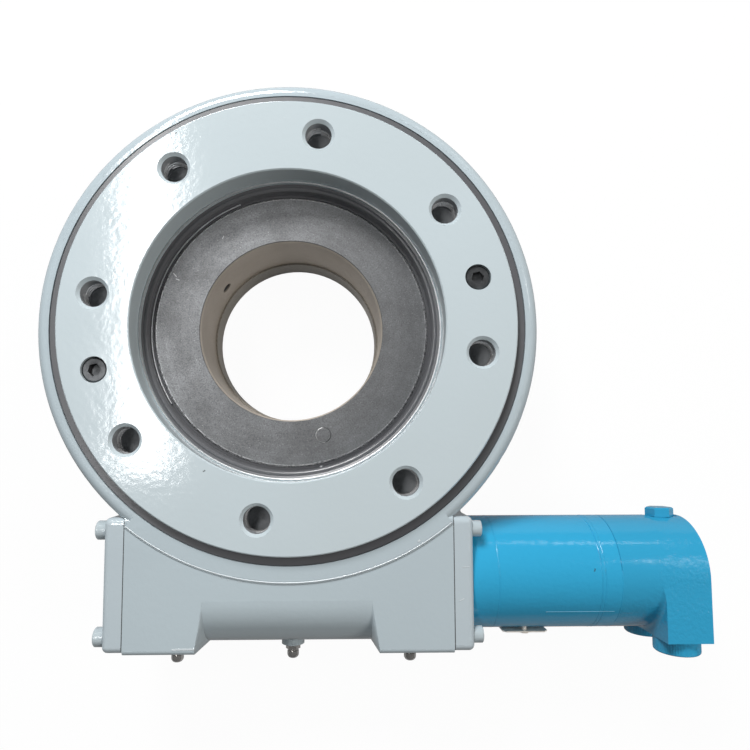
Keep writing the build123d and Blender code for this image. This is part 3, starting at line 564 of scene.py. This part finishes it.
class Paintwork:
    """Makes every finish once and puts it on the CAD nodes and the new pieces."""

    # the drain and port plugs take the darker copy of the motor paint: painted shade
    own_finish: dict[str, str] = {"drain_plug": "motor_cast_paint", "port_plugs": "motor_cast_paint"}

    def __init__(self) -> None:
        """Builds all finishes by name."""
        self.made: dict[str, bpy.types.Material] = {}
        for finish in FINISHES:
            old = bpy.data.materials.get(finish.name)
            if old:
                old.name = finish.name + "_plain"
            self.made[finish.name] = finish.make()
            log.info("finish %s", finish.name)

    def dress_nodes(self) -> None:
        """Gives each CAD node the finish of its slot, or one of its own."""
        for name, node in frame["nodes"].items():
            for place in node.material_slots:
                slot = place.material.name.replace("_plain", "")
                place.material = self.made[self.own_finish.get(name, slot)]

    def dress(self, piece: bpy.types.Object, slot: Slot, finish: str = "") -> None:
        """Puts a finish on a new piece and reports it.

        Args:
            piece: the piece.
            slot: the record's slot that it belongs to.
            finish: a finish of its own; the slot's when left out.
        """
        piece.data.materials.clear()
        piece.data.materials.append(self.made[finish or slot.value])
        log.info("piece %s", piece.name)


# Modelling


@dataclass
class Workbench:
    """Blender's modelling tools, used on one piece at a time."""

    arc_step: float = 1.25

    def ready(self) -> None:
        """Leaves edit mode and lets go of every object."""
        if bpy.context.object and bpy.context.object.mode != "OBJECT":
            bpy.ops.object.mode_set(mode="OBJECT")
        bpy.ops.object.select_all(action="DESELECT")

    def take(self, name: str) -> bpy.types.Object:
        """Names the primitive that was just added and moves its place into its mesh.

        Args:
            name: its name.

        Returns:
            The primitive.
        """
        piece = bpy.context.active_object
        piece.name = name
        piece.data.name = name
        bpy.ops.object.transform_apply(location=True, rotation=True, scale=True)
        return piece

    def pick(self, piece: bpy.types.Object,
             test: Callable[[Vector], bool] = lambda point: True) -> None:
        """Goes into edit mode with only some points selected.

        Args:
            piece: the piece.
            test: tells by its place whether a point is selected; all are when left out.
        """
        bpy.ops.object.mode_set(mode="EDIT")
        bpy.ops.mesh.select_mode(type="VERT")
        bpy.ops.mesh.select_all(action="DESELECT")
        bpy.ops.object.mode_set(mode="OBJECT")
        for vertex in piece.data.vertices:
            vertex.select = test(vertex.co)
        bpy.ops.object.mode_set(mode="EDIT")

    def close(self, piece: bpy.types.Object, sharp: float = 35.0) -> None:
        """Joins loose corners, turns all faces outwards and smooths the mesh.

        Args:
            piece: the piece.
            sharp: the angle in degrees above which an edge stays sharp.
        """
        if piece.mode != "EDIT":
            bpy.ops.object.mode_set(mode="EDIT")
        bpy.ops.mesh.select_all(action="SELECT")
        bpy.ops.mesh.remove_doubles(threshold=0.000001)
        bpy.ops.mesh.normals_make_consistent(inside=False)
        bpy.ops.object.mode_set(mode="OBJECT")
        bpy.ops.object.shade_smooth_by_angle(angle=math.radians(sharp))

    def apply(self, piece: bpy.types.Object, kind: str, **settings: Any) -> None:
        """Puts a modifier on a piece and makes it final.

        Args:
            piece: the piece, which is the active object.
            kind: the modifier's kind.
            **settings: what is set on it.
        """
        modifier = piece.modifiers.new(kind.lower(), kind)
        for key, value in settings.items():
            setattr(modifier, key, value)
        bpy.ops.object.modifier_apply(modifier=modifier.name)

    def repeat(self, piece: bpy.types.Object, places: Sequence[Matrix]) -> list[bpy.types.Object]:
        """Copies a piece to several places, each copy with a mesh of its own.

        Args:
            piece: the modelled piece; it goes to the first place itself.
            places: where the piece and its copies go.

        Returns:
            The piece and its copies.
        """
        pieces = [piece]
        for _ in places[1:]:
            twin = piece.copy()
            twin.data = piece.data.copy()
            bpy.context.scene.collection.objects.link(twin)
            pieces.append(twin)
        stem = piece.name
        for number, (item, place) in enumerate(zip(pieces, places), start=1):
            item.name = f"{stem}_{number}"
            item.data.transform(place)
        return pieces

    def rod(self, name: str, first: Sequence[float], last: Sequence[float], radius: float,
            corners: int = 128) -> bpy.types.Object:
        """Adds a round bar along X or Y.

        Args:
            name: its name.
            first: its lower end, in metres.
            last: its upper end.
            radius: its radius.
            corners: corners of its section.

        Returns:
            The bar.
        """
        middle = tuple((low + high) / 2 for low, high in zip(first, last))
        length = max(high - low for low, high in zip(first, last))
        bpy.ops.mesh.primitive_cylinder_add(vertices=corners, radius=radius, depth=length, location=middle,
                                            rotation=ALONG_X if last[0] > first[0] else ALONG_Y)
        return self.take(name)

    def combine(self, piece: bpy.types.Object, tool: bpy.types.Object, join: Join) -> None:
        """Joins a tool to a piece, cuts it out or keeps only what both share, and takes the tool away.

        Args:
            piece: the piece.
            tool: the tool.
            join: what the tool does.
        """
        self.ready()
        piece.select_set(True)
        bpy.context.view_layer.objects.active = piece
        self.apply(piece, "BOOLEAN", operation=join.value, object=tool, solver="MANIFOLD")
        bpy.data.objects.remove(tool)

    def arc(self, name: str, radius: float, height: float, thick: float, start: float, end: float,
            corners: int = 8) -> bpy.types.Object:
        """Spins a thin round bead about the slewing axis, closed at its ends.

        Args:
            name: the piece's name.
            radius: the bead's radius about the axis, in metres.
            height: its height, in metres.
            thick: the radius of its round section, in metres.
            start: where it starts, in degrees from +X.
            end: where it ends, in degrees.
            corners: corners of its section.

        Returns:
            The piece, out of edit mode.
        """
        turn = math.radians(start)
        bpy.ops.mesh.primitive_circle_add(vertices=corners, radius=thick, fill_type="NGON",
                                          location=around(radius, turn, height),
                                          rotation=(math.pi / 2, 0.0, turn))
        piece = self.take(name)
        self.pick(piece)
        bpy.ops.mesh.spin(steps=round((end - start) / self.arc_step), angle=math.radians(start - end),
                          center=(0, 0, 0), axis=(0, 0, 1))
        self.close(piece, 60.0)
        return piece


# Fine parts


@dataclass
class Group:
    """A group of fine parts, with the tools that model and dress them."""

    bench: Workbench
    paint: Paintwork


@dataclass
class TappedHoles(Group):
    """Threads of the ring's tapped holes: in each a drilled lining with its cone, and a cut helical ridge."""

    circle_r: float = 101.6 * MM
    first_angle: float = 36.3
    count: int = 8
    hole_r: float = 7.0 * MM
    skin: float = 0.04 * MM
    mouth: float = 1.75 * MM
    wall_depth: float = 14.2 * MM
    tip_depth: float = 17.7 * MM
    thread_start: float = 6.6 * MM
    pitch: float = 2.0 * MM
    turns: int = 3
    turn_steps: int = 32
    ridge: float = 0.5 * MM

    def places(self) -> list[Matrix]:
        """Finds where the holes are.

        Returns:
            A place and a turn for each hole.
        """
        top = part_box("slew_ring")[1].z
        step = 360.0 / self.count
        angles = [math.radians(self.first_angle + step * number) for number in range(self.count)]
        spots = [Matrix.Translation(around(self.circle_r, angle, top)) for angle in angles]
        return [spot @ Matrix.Rotation(angle, 4, "Z") for spot, angle in zip(spots, angles)]

    def lining(self) -> bpy.types.Object:
        """Models the drilled wall and its cone.

        Returns:
            A thin closed skin below the origin.
        """
        depth = self.wall_depth - self.mouth
        middle = (0, 0, -self.mouth - depth / 2)
        tip = (0, 0, self.wall_depth - self.tip_depth)
        bpy.ops.mesh.primitive_cylinder_add(vertices=48, radius=self.hole_r - self.skin, depth=depth,
                                            end_fill_type="NOTHING", location=middle)
        piece = self.bench.take("tapped_hole_lining")
        self.bench.pick(piece, lambda point: point.z < middle[2])
        bpy.ops.mesh.extrude_region_move(TRANSFORM_OT_translate={"value": tip})
        bpy.ops.mesh.merge(type="CENTER")
        self.bench.close(piece)
        self.bench.apply(piece, "SOLIDIFY", thickness=self.skin / 2, offset=1.0)
        self.bench.close(piece)
        return piece

    def thread(self) -> bpy.types.Object:
        """Models the helical ridge from one turned section.

        Returns:
            The ridge, below the origin.
        """
        bpy.ops.mesh.primitive_circle_add(vertices=4, radius=self.ridge, fill_type="NOTHING",
                                          location=(self.hole_r - self.skin, 0, 0), rotation=ALONG_Y)
        piece = self.bench.take("tapped_hole_thread")
        self.bench.apply(piece, "SCREW", angle=math.tau, screw_offset=-self.pitch, iterations=self.turns,
                         steps=self.turn_steps, render_steps=self.turn_steps, use_merge_vertices=False)
        self.bench.pick(piece)
        bpy.ops.transform.translate(value=(0, 0, -self.thread_start))
        bpy.ops.mesh.fill_holes(sides=4)
        self.bench.close(piece, 20.0)
        return piece

    def build(self) -> None:
        """Builds all linings and threads."""
        for model, finish in ((self.lining(), "drilled_steel"), (self.thread(), "cut_thread_steel")):
            for piece in self.bench.repeat(model, self.places()):
                self.paint.dress(piece, Slot.BLACK_SCREW, finish)
                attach(piece, Body.RING.value)


@dataclass
class SealDetails(Group):
    """The lower edge of the ring's bore with its nick, and the seal's ridge, lip line and splice; the edge
    line and the lip line are near white beads of painted highlight.
    """

    edge: Point = (80.95 * MM, 60.9 * MM, 0.5 * MM)
    bead: Point = (78.3 * MM, 57.7 * MM, 1.5 * MM)
    lip: Point = (76.0 * MM, 54.95 * MM, 0.4 * MM)
    whole: tuple[float, float] = (0.0, 360.0)
    lip_ends: tuple[float, float] = (112.0, 212.0)
    splice_angle: float = -77.4
    splice_size: tuple[float, float, float] = (1.5 * MM, 2.6 * MM, 0.5 * MM)
    splice_height: float = 56.0 * MM
    nick_angle: float = -58.3
    nick_r: float = 80.9 * MM
    nick_height: float = 61.2 * MM
    nick_length: float = 2.2 * MM
    nick_wide: float = 0.35 * MM
    nick_thin: float = 0.1 * MM
    nick_bevel: float = 0.08 * MM
    corners: int = 16

    def build(self) -> None:
        """Builds the beads, each of a radius, a height and a thickness, and the marks."""
        for name, sizes, ends, slot, finish in (
                # edge line and lip line: near white beads, painted highlight
                ("bore_edge_line", self.edge, self.whole, Slot.RING, "worn_edge_steel"),
                ("seal_ridge_bead", self.bead, self.whole, Slot.SEAL, ""),
                ("seal_lip_line", self.lip, self.lip_ends, Slot.SEAL, "worn_edge_steel")):
            self.keep(self.bench.arc(name, *sizes, *ends, self.corners), slot, finish)
        self.keep(self.splice(), Slot.SEAL)
        self.keep(self.nick(), Slot.BLACK_SCREW, "cut_thread_steel")

    def keep(self, piece: bpy.types.Object, slot: Slot, finish: str = "") -> None:
        """Dresses a piece and lets it turn with the ring."""
        self.paint.dress(piece, slot, finish)
        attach(piece, Body.RING.value)

    def splice(self) -> bpy.types.Object:
        """Models the lump where the seal's ends were joined.

        Returns:
            The lump.
        """
        turn = math.radians(self.splice_angle)
        place = around(self.bead[0] - self.splice_size[0], turn, self.splice_height)
        bpy.ops.mesh.primitive_cube_add(size=1.0, scale=self.splice_size, location=place,
                                        rotation=(0, 0, turn))
        piece = self.bench.take("seal_splice")
        self.bench.pick(piece)
        bpy.ops.mesh.subdivide(number_cuts=3, smoothness=1.0)
        self.bench.close(piece, 60.0)
        return piece

    def nick(self) -> bpy.types.Object:
        """Models the small bright nick in the bore's lower edge.

        Returns:
            The nick.
        """
        turn = math.radians(self.nick_angle)
        bpy.ops.mesh.primitive_cone_add(vertices=6, radius1=self.nick_wide, radius2=self.nick_thin,
                                        depth=self.nick_length,
                                        location=around(self.nick_r, turn, self.nick_height),
                                        rotation=(math.pi / 2, 0, turn + math.pi / 2))
        piece = self.bench.take("bore_edge_nick")
        self.bench.pick(piece)
        bpy.ops.mesh.bevel(offset=self.nick_bevel, segments=2)
        self.bench.close(piece, 40.0)
        return piece


@dataclass
class PinRing(Group):
    """Worn bright ring where the filler plug's pin was peened into the inner ring."""

    place: tuple[float, float] = (17.4 * MM, -57.4 * MM)
    height: float = 54.48 * MM
    ring_r: float = 3.75 * MM
    thick: float = 0.3 * MM

    def build(self) -> None:
        """Builds the ring, half sunk in the face."""
        bpy.ops.mesh.primitive_torus_add(major_segments=64, minor_segments=12, major_radius=self.ring_r,
                                         minor_radius=self.thick, location=(*self.place, self.height))
        piece = self.bench.take("filler_pin_ring")
        self.bench.pick(piece)
        bpy.ops.mesh.bisect(plane_co=(0, 0, self.height - self.thick / 2), plane_no=(0, 0, -1), use_fill=True,
                            clear_outer=True)
        self.bench.close(piece, 40.0)
        self.paint.dress(piece, Slot.INNER_RING, "cut_thread_steel")
        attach(piece, Body.HOUSING.value)


@dataclass
class RimPaintLines(Group):
    """Lines of paint standing up along the step where the housing's rim stands over the worm box; the upper
    one is paler paint, a painted highlight.
    """

    upper: Point = (132.35 * MM, 70.45 * MM, 0.33 * MM)
    lower: Point = (133.0 * MM, 69.75 * MM, 0.55 * MM)
    ends: tuple[float, float] = (231.5, 309.3)

    def build(self) -> None:
        """Builds both lines, each of a radius, a height and a thickness."""
        for name, sizes, finish in (("rim_paint_line_upper", self.upper, "bright_line_paint"),
                                    ("rim_paint_line_lower", self.lower, "")):
            piece = self.bench.arc(name, *sizes, *self.ends)
            self.paint.dress(piece, Slot.HOUSING, finish)
            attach(piece, Body.HOUSING.value)


@dataclass
class MotorDetails(Group):
    """Paint that bridges the motor's seams, the cast parting line in paler paint as a painted reflection, and
    the fine ribs of the port plugs.
    """

    axis_y: float = -133.5 * MM
    motor_r: float = 30.4 * MM
    seam_sink: float = 0.32 * MM
    seam_thick: float = 0.4 * MM
    seam_step: float = 4.0
    line_angle: float = -33.0
    line_thick: float = 0.3 * MM
    line_from: float = 25.0 * MM
    line_short: float = 3.0 * MM
    rib_count: int = 60
    rib_depth: float = 0.25 * MM
    rib_reach: float = 0.1 * MM
    rib_inset: float = 1.0 * MM

    def axis_height(self) -> float:
        """Height of the motor's axis, from the motor body's box."""
        low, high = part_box("motor_body")
        return (low.z + high.z) / 2

    def seams(self) -> dict[str, tuple[float, float, float]]:
        """Each seam's place along the motor, and the angles from -Y between which paint bridges it."""
        return {"seam_paint_front": (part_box("motor_body")[0].x, -75.0, 200.0),
                "seam_paint_spacer": (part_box("motor_spacer_plate")[0].x, -70.0, 110.0),
                "seam_paint_gerotor": (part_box("motor_gerotor_ring")[0].x, -75.0, 200.0),
                "seam_paint_end": (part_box("motor_gerotor_ring")[1].x, -75.0, 100.0)}

    def build(self) -> None:
        """Builds the seam paint, the parting line and the ribs."""
        pieces = [self.seam(name, *sizes) for name, sizes in self.seams().items()]
        line = self.parting_line()
        for piece in (*pieces, line, *self.ribbed_plugs()):
            self.paint.dress(piece, Slot.MOTOR, "motor_line_paint" if piece == line else "")
            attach(piece, Body.HOUSING.value)

    def seam(self, name: str, x: float, start: float, end: float) -> bpy.types.Object:
        """Spins one bead of paint round the motor, closed at its ends.

        Args:
            name: the piece's name.
            x: its place along the motor, in metres.
            start: its first angle, in degrees from -Y, rising over the top.
            end: its last angle.

        Returns:
            The piece.
        """
        radius = self.motor_r - self.seam_sink
        turn = math.radians(start)
        centre = (x, self.axis_y, self.axis_height())
        place = (x, self.axis_y - radius * math.cos(turn), centre[2] + radius * math.sin(turn))
        bpy.ops.mesh.primitive_circle_add(vertices=8, radius=self.seam_thick, fill_type="NGON",
                                          location=place, rotation=(-turn, 0, 0))
        piece = self.bench.take(name)
        self.bench.pick(piece)
        bpy.ops.mesh.spin(steps=round((end - start) / self.seam_step), angle=math.radians(end - start),
                          center=centre, axis=(1, 0, 0))
        self.bench.close(piece, 60.0)
        return piece

    def parting_line(self) -> bpy.types.Object:
        """Models the low ridge along the castings, where the mould halves met; its paler paint is a painted
        reflection of the floor.

        Returns:
            The ridge.
        """
        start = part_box("motor_body")[0].x + self.line_from
        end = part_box("motor_gerotor_ring")[1].x - self.line_short
        turn = math.radians(self.line_angle)
        radius = self.motor_r - self.line_thick / 2
        spot = (self.axis_y + radius * math.sin(turn), self.axis_height() + radius * math.cos(turn))
        piece = self.bench.rod("motor_parting_line", (start, *spot), (end, *spot), self.line_thick, 8)
        self.bench.pick(piece)
        bpy.ops.mesh.bevel(offset=self.line_thick / 4, segments=1)
        self.bench.close(piece, 60.0)
        return piece

    def ribbed_plugs(self) -> list[bpy.types.Object]:
        """Models the fine ribs on the rims of the port plugs.

        Returns:
            The ribs of the upper and of the lower plug.
        """
        low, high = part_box("port_plugs")
        radius = (high.x - low.x) / 2
        front = low.y + self.rib_inset
        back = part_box("motor_end_cover")[0].y
        middle = ((low.x + high.x) / 2, (front + back) / 2, high.z - radius)
        piece = self.bench.rod("port_plug_ribs", (middle[0], front, middle[2]), (middle[0], back, middle[2]),
                               radius + self.rib_reach, 2 * self.rib_count)

        def between(point: Vector) -> bool:
            """Tells whether a corner is one of those between two ribs."""
            turn = math.atan2(point.z - middle[2], point.x - middle[0])
            return round(turn * self.rib_count / math.pi) % 2 == 1

        self.bench.pick(piece, between)
        inward = (radius - self.rib_depth) / radius
        bpy.ops.transform.resize(value=(inward, 1.0, inward), center_override=middle)
        self.bench.close(piece, 20.0)
        lower = Matrix.Translation((0, 0, low.z + radius - middle[2]))
        return self.bench.repeat(piece, [Matrix.Identity(4), lower])


@dataclass
class MotorEndCover(Group):
    """End cover of the motor: a round neck and a flat fronted block, with a small cast fillet between."""

    axis_y: float = -133.5 * MM
    neck_r: float = 30.4 * MM
    block_length: float = 23.8 * MM
    fillet: float = 2.6 * MM
    past: float = 1.0 * MM
    head_circle: float = 24.0 * MM
    head_r: float = 5.1 * MM
    head_depth: float = 6.0 * MM
    port_x: float = 207.4 * MM
    port_pitch: float = 33.0 * MM
    port_r: float = 9.7 * MM
    port_depth: float = 8.8 * MM
    seat_x: float = 209.5 * MM
    seat_r: float = 8.8 * MM
    seat_sink: float = 0.6 * MM
    face: float = field(init=False)
    step: float = field(init=False)
    end: float = field(init=False)
    axis: Vector = field(init=False)

    def build(self) -> None:
        """Models the cover and lets it stand for the CAD node."""
        low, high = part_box("motor_end_cover")
        self.face = low.y
        self.step = high.x - self.block_length
        self.end = high.x
        self.axis = Vector((0.0, self.axis_y, (low.z + high.z) / 2))
        cover = self.bench.rod("motor_end_cover_cast", (low.x, *self.axis.yz), (high.x, *self.axis.yz),
                               self.neck_r)
        self.bench.combine(cover, self.front(self.step, self.end), Join.ADD)
        self.bench.combine(cover, self.corner_fillet(), Join.ADD)
        for tool in self.hollows():
            self.bench.combine(cover, tool, Join.CUT)
        self.bench.close(cover, 30.0)
        self.paint.dress(cover, Slot.MOTOR, "motor_cast_paint")
        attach(cover, Body.HOUSING.value)
        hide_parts("motor_end_cover")

    def front(self, start: float, end: float) -> bpy.types.Object:
        """Models the box that makes the block's front and its two corners.

        Args:
            start: where it starts along X, in metres.
            end: where it ends.

        Returns:
            The box.
        """
        size = (end - start, self.axis.y - self.face, 2 * self.neck_r)
        middle = ((start + end) / 2, (self.face + self.axis.y) / 2, self.axis.z)
        bpy.ops.mesh.primitive_cube_add(size=1.0, scale=size, location=middle)
        return self.bench.take("block_front")

    def corner_fillet(self) -> bpy.types.Object:
        """Models the fillet: a disc with a ring cut out of its corner, kept inside the block's outline.

        Returns:
            The fillet.
        """
        reach = self.neck_r + self.fillet
        start = self.step - self.fillet
        disc = self.bench.rod("corner_fillet", (start, *self.axis.yz),
                              (self.step + self.past, *self.axis.yz), reach)
        bpy.ops.mesh.primitive_torus_add(major_segments=128, minor_segments=40, major_radius=reach,
                                         minor_radius=self.fillet, rotation=ALONG_X,
                                         location=(start, self.axis.y, self.axis.z))
        self.bench.combine(disc, self.bench.take("corner_ring"), Join.CUT)
        self.bench.combine(disc, self.front(start - self.past, self.step + self.past), Join.TRIM)
        return disc

    def hollows(self) -> list[bpy.types.Object]:
        """Models what is cut out: four screw heads, two ports and the seat of the drain plug.

        Returns:
            The tools.
        """
        tools = []
        for turn in (45, 135, 225, 315):
            off = Vector((0.0, math.cos(math.radians(turn)), math.sin(math.radians(turn)))) * self.head_circle
            spot = (self.axis + off).yz
            tools.append(self.bench.rod("head_bore", (self.end - self.head_depth, *spot),
                                        (self.end + self.past, *spot), self.head_r))
        back = self.axis.y + self.neck_r
        low, high = self.axis.z - self.port_pitch / 2, self.axis.z + self.port_pitch / 2
        for x, start, end, radius, height in (
                (self.port_x, self.face - self.past, self.face + self.port_depth, self.port_r, low),
                (self.port_x, self.face - self.past, self.face + self.port_depth, self.port_r, high),
                (self.seat_x, back - self.seat_sink, back + self.past, self.seat_r, self.axis.z)):
            tools.append(self.bench.rod("drill", (x, start, height), (x, end, height), radius, 64))
        return tools


@dataclass
class NippleBalls(Group):
    """The spring loaded ball in the mouth of each grease nipple."""

    nodes: tuple[str, ...] = ("grease_nipple_left", "grease_nipple_middle", "grease_nipple_right")
    ball_r: float = 0.8 * MM
    sink: float = 0.95 * MM

    def build(self) -> None:
        """Builds the three balls."""
        for node in self.nodes:
            low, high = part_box(node)
            middle = ((low.x + high.x) / 2, low.y + self.sink, (low.z + high.z) / 2)
            bpy.ops.mesh.primitive_uv_sphere_add(segments=16, ring_count=10, radius=self.ball_r,
                                                 location=middle)
            piece = self.bench.take(node.replace("grease_nipple", "nipple_ball"))
            self.bench.pick(piece)
            bpy.ops.mesh.bisect(plane_co=middle, plane_no=(0, 1, 0), use_fill=True, clear_outer=True)
            self.bench.close(piece, 40.0)
            self.paint.dress(piece, Slot.NIPPLE)
            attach(piece, Body.HOUSING.value)


# Studio and camera


@dataclass(frozen=True)
class Panel:
    """A soft lamp: its centre and the point it faces in millimetres, its size in metres and its watts."""

    name: str
    centre: Point
    aim: Point
    width: float
    height: float
    power: float
    colour: Rgb = (1.0, 1.0, 1.0)
    seen: bool = True
    mirrored: bool = True

    def hang(self) -> None:
        """Hangs the lamp."""
        data = bpy.data.lights.new(self.name, "AREA")
        data.shape = "RECTANGLE"
        data.size = self.width
        data.size_y = self.height
        data.energy = self.power
        data.color = self.colour
        lamp = bpy.data.objects.new(self.name, data)
        bpy.context.scene.collection.objects.link(lamp)
        lamp.location = Vector(self.centre) * MM
        lamp.rotation_euler = (Vector(self.aim) - Vector(self.centre)).to_track_quat("-Z", "Y").to_euler()
        lamp.visible_camera = self.seen
        lamp.visible_glossy = self.mirrored


RING_MIDDLE: Point = (0.0, 0.0, 50.0)
PANELS: tuple[Panel, ...] = (
    Panel("window", (-374.0, 250.0, 975.0), (-374.0, 250.0, 0.0), 0.11, 0.74, 3.3),
    Panel("key", (-300.0, 950.0, 800.0), RING_MIDDLE, 0.4, 0.4, 16.4),
    Panel("fill", (1100.0, -100.0, 900.0), RING_MIDDLE, 0.5, 0.5, 8.0, (1.0, 0.95, 0.9), mirrored=False),
    Panel("streak", (660.0, 1130.0, 600.0), RING_MIDDLE, 0.42, 0.05, 0.26),
    Panel("spark", (840.0, 370.0, 1060.0), RING_MIDDLE, 0.13, 0.13, 0.32),
    Panel("light_table", (20.0, 0.0, 2.0), (20.0, 0.0, 1002.0), 0.05, 0.05, 0.0095, seen=False,
          mirrored=False),
)


@dataclass
class Studio:
    """Pale floor, faint sky, six panel lamps and the camera above the drive."""

    floor_side: float = 6.0
    floor_drop: float = 0.3 * MM
    sky: float = 0.12
    eye: Vector = field(default_factory=lambda: Vector((27.8, -63.0, 375.4)) * MM)
    ahead: Vector = field(default_factory=lambda: Vector((0.0176, 0.0721, -0.9972)))
    upward: Vector = field(default_factory=lambda: Vector((0.001, 0.9974, 0.0721)))
    focal: float = 28.34
    shift_x: float = 0.0299
    shift_y: float = 0.0369

    def build(self) -> None:
        """Builds floor, sky, lamps and camera."""
        self.build_floor()
        self.build_sky()
        for panel in PANELS:
            panel.hang()
        self.build_camera()

    def build_floor(self) -> None:
        """Lays a pale floor that the camera sees as white and that keeps the drive's shadow."""
        bpy.ops.mesh.primitive_plane_add(size=self.floor_side, location=(0, 0, -self.floor_drop))
        floor = bpy.context.active_object
        floor.name = "studio_floor"
        g = Graph(bpy.data.materials.new("floor_white"))
        pale = g.add("ShaderNodeBsdfDiffuse", None, {"Color": (0.82, 0.83, 0.84, 1.0)})
        grey = g.add("ShaderNodeBsdfDiffuse", None, {"Color": (0.2, 0.21, 0.22, 1.0)})
        glow = g.add("ShaderNodeEmission", None, {"Color": WHITE, "Strength": 1.0})
        seen = g.add("ShaderNodeLightPath", out="Is Camera Ray")
        through = g.add("ShaderNodeLightPath", out="Is Transmission Ray")
        mirrored = g.add("ShaderNodeLightPath", out="Is Glossy Ray")
        plain = seen + through
        glowing = plain * 0.96 + mirrored * 0.2
        bounce = g.add("ShaderNodeMixShader", None, {0: plain, 1: grey, 2: pale})
        g.add_output(g.add("ShaderNodeMixShader", None, {0: glowing, 1: bounce, 2: glow}))
        floor.data.materials.append(g.owner)

    def build_sky(self) -> None:
        """Gives an even pale sky, white where the camera sees it."""
        world = bpy.data.worlds.new("studio_sky")
        bpy.context.scene.world = world
        g = Graph(world)
        seen = g.add("ShaderNodeLightPath", out="Is Camera Ray")
        even = g.add("ShaderNodeBackground", None, {"Color": (0.97, 0.99, 1.0, 1.0), "Strength": self.sky})
        white = g.add("ShaderNodeBackground", None, {"Color": WHITE, "Strength": 1.0})
        surface = g.add("ShaderNodeMixShader", None, {0: seen, 1: even, 2: white})
        g.add_output(surface, "ShaderNodeOutputWorld")

    def build_camera(self) -> None:
        """Sets the camera at the photograph's viewpoint."""
        data = bpy.data.cameras.new("camera")
        data.sensor_width = 36.0
        data.lens = self.focal
        data.shift_x = self.shift_x
        data.shift_y = self.shift_y
        data.clip_start = 0.01
        camera = bpy.data.objects.new("camera", data)
        bpy.context.scene.collection.objects.link(camera)
        back = -self.ahead.normalized()
        right = self.upward.cross(back).normalized()
        up = back.cross(right)
        turn = Matrix((right, up, back)).transposed().to_4x4()
        camera.matrix_world = Matrix.Translation(self.eye) @ turn
        bpy.context.scene.camera = camera


def clear_startup() -> None:
    """Takes out what Blender starts with, so that only the drive is left."""
    kept = {node.name for node in frame["nodes"].values()} | {body.name for body in frame["bodies"].values()}
    for thing in list(bpy.data.objects):
        if thing.name not in kept:
            bpy.data.objects.remove(thing)


def main() -> None:
    """Builds the finishes, the pieces and the studio in order."""
    logging.basicConfig(level=logging.INFO, format="%(name)s: %(message)s")
    clear_startup()
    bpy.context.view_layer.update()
    bpy.context.scene.view_settings.view_transform = "Standard"
    paint = Paintwork()
    paint.dress_nodes()
    bench = Workbench()
    for group in (TappedHoles, SealDetails, PinRing, RimPaintLines, MotorDetails, MotorEndCover, NippleBalls):
        bench.ready()
        group(bench, paint).build()
    bench.ready()
    Studio().build()


if __name__ == "__main__":
    main()
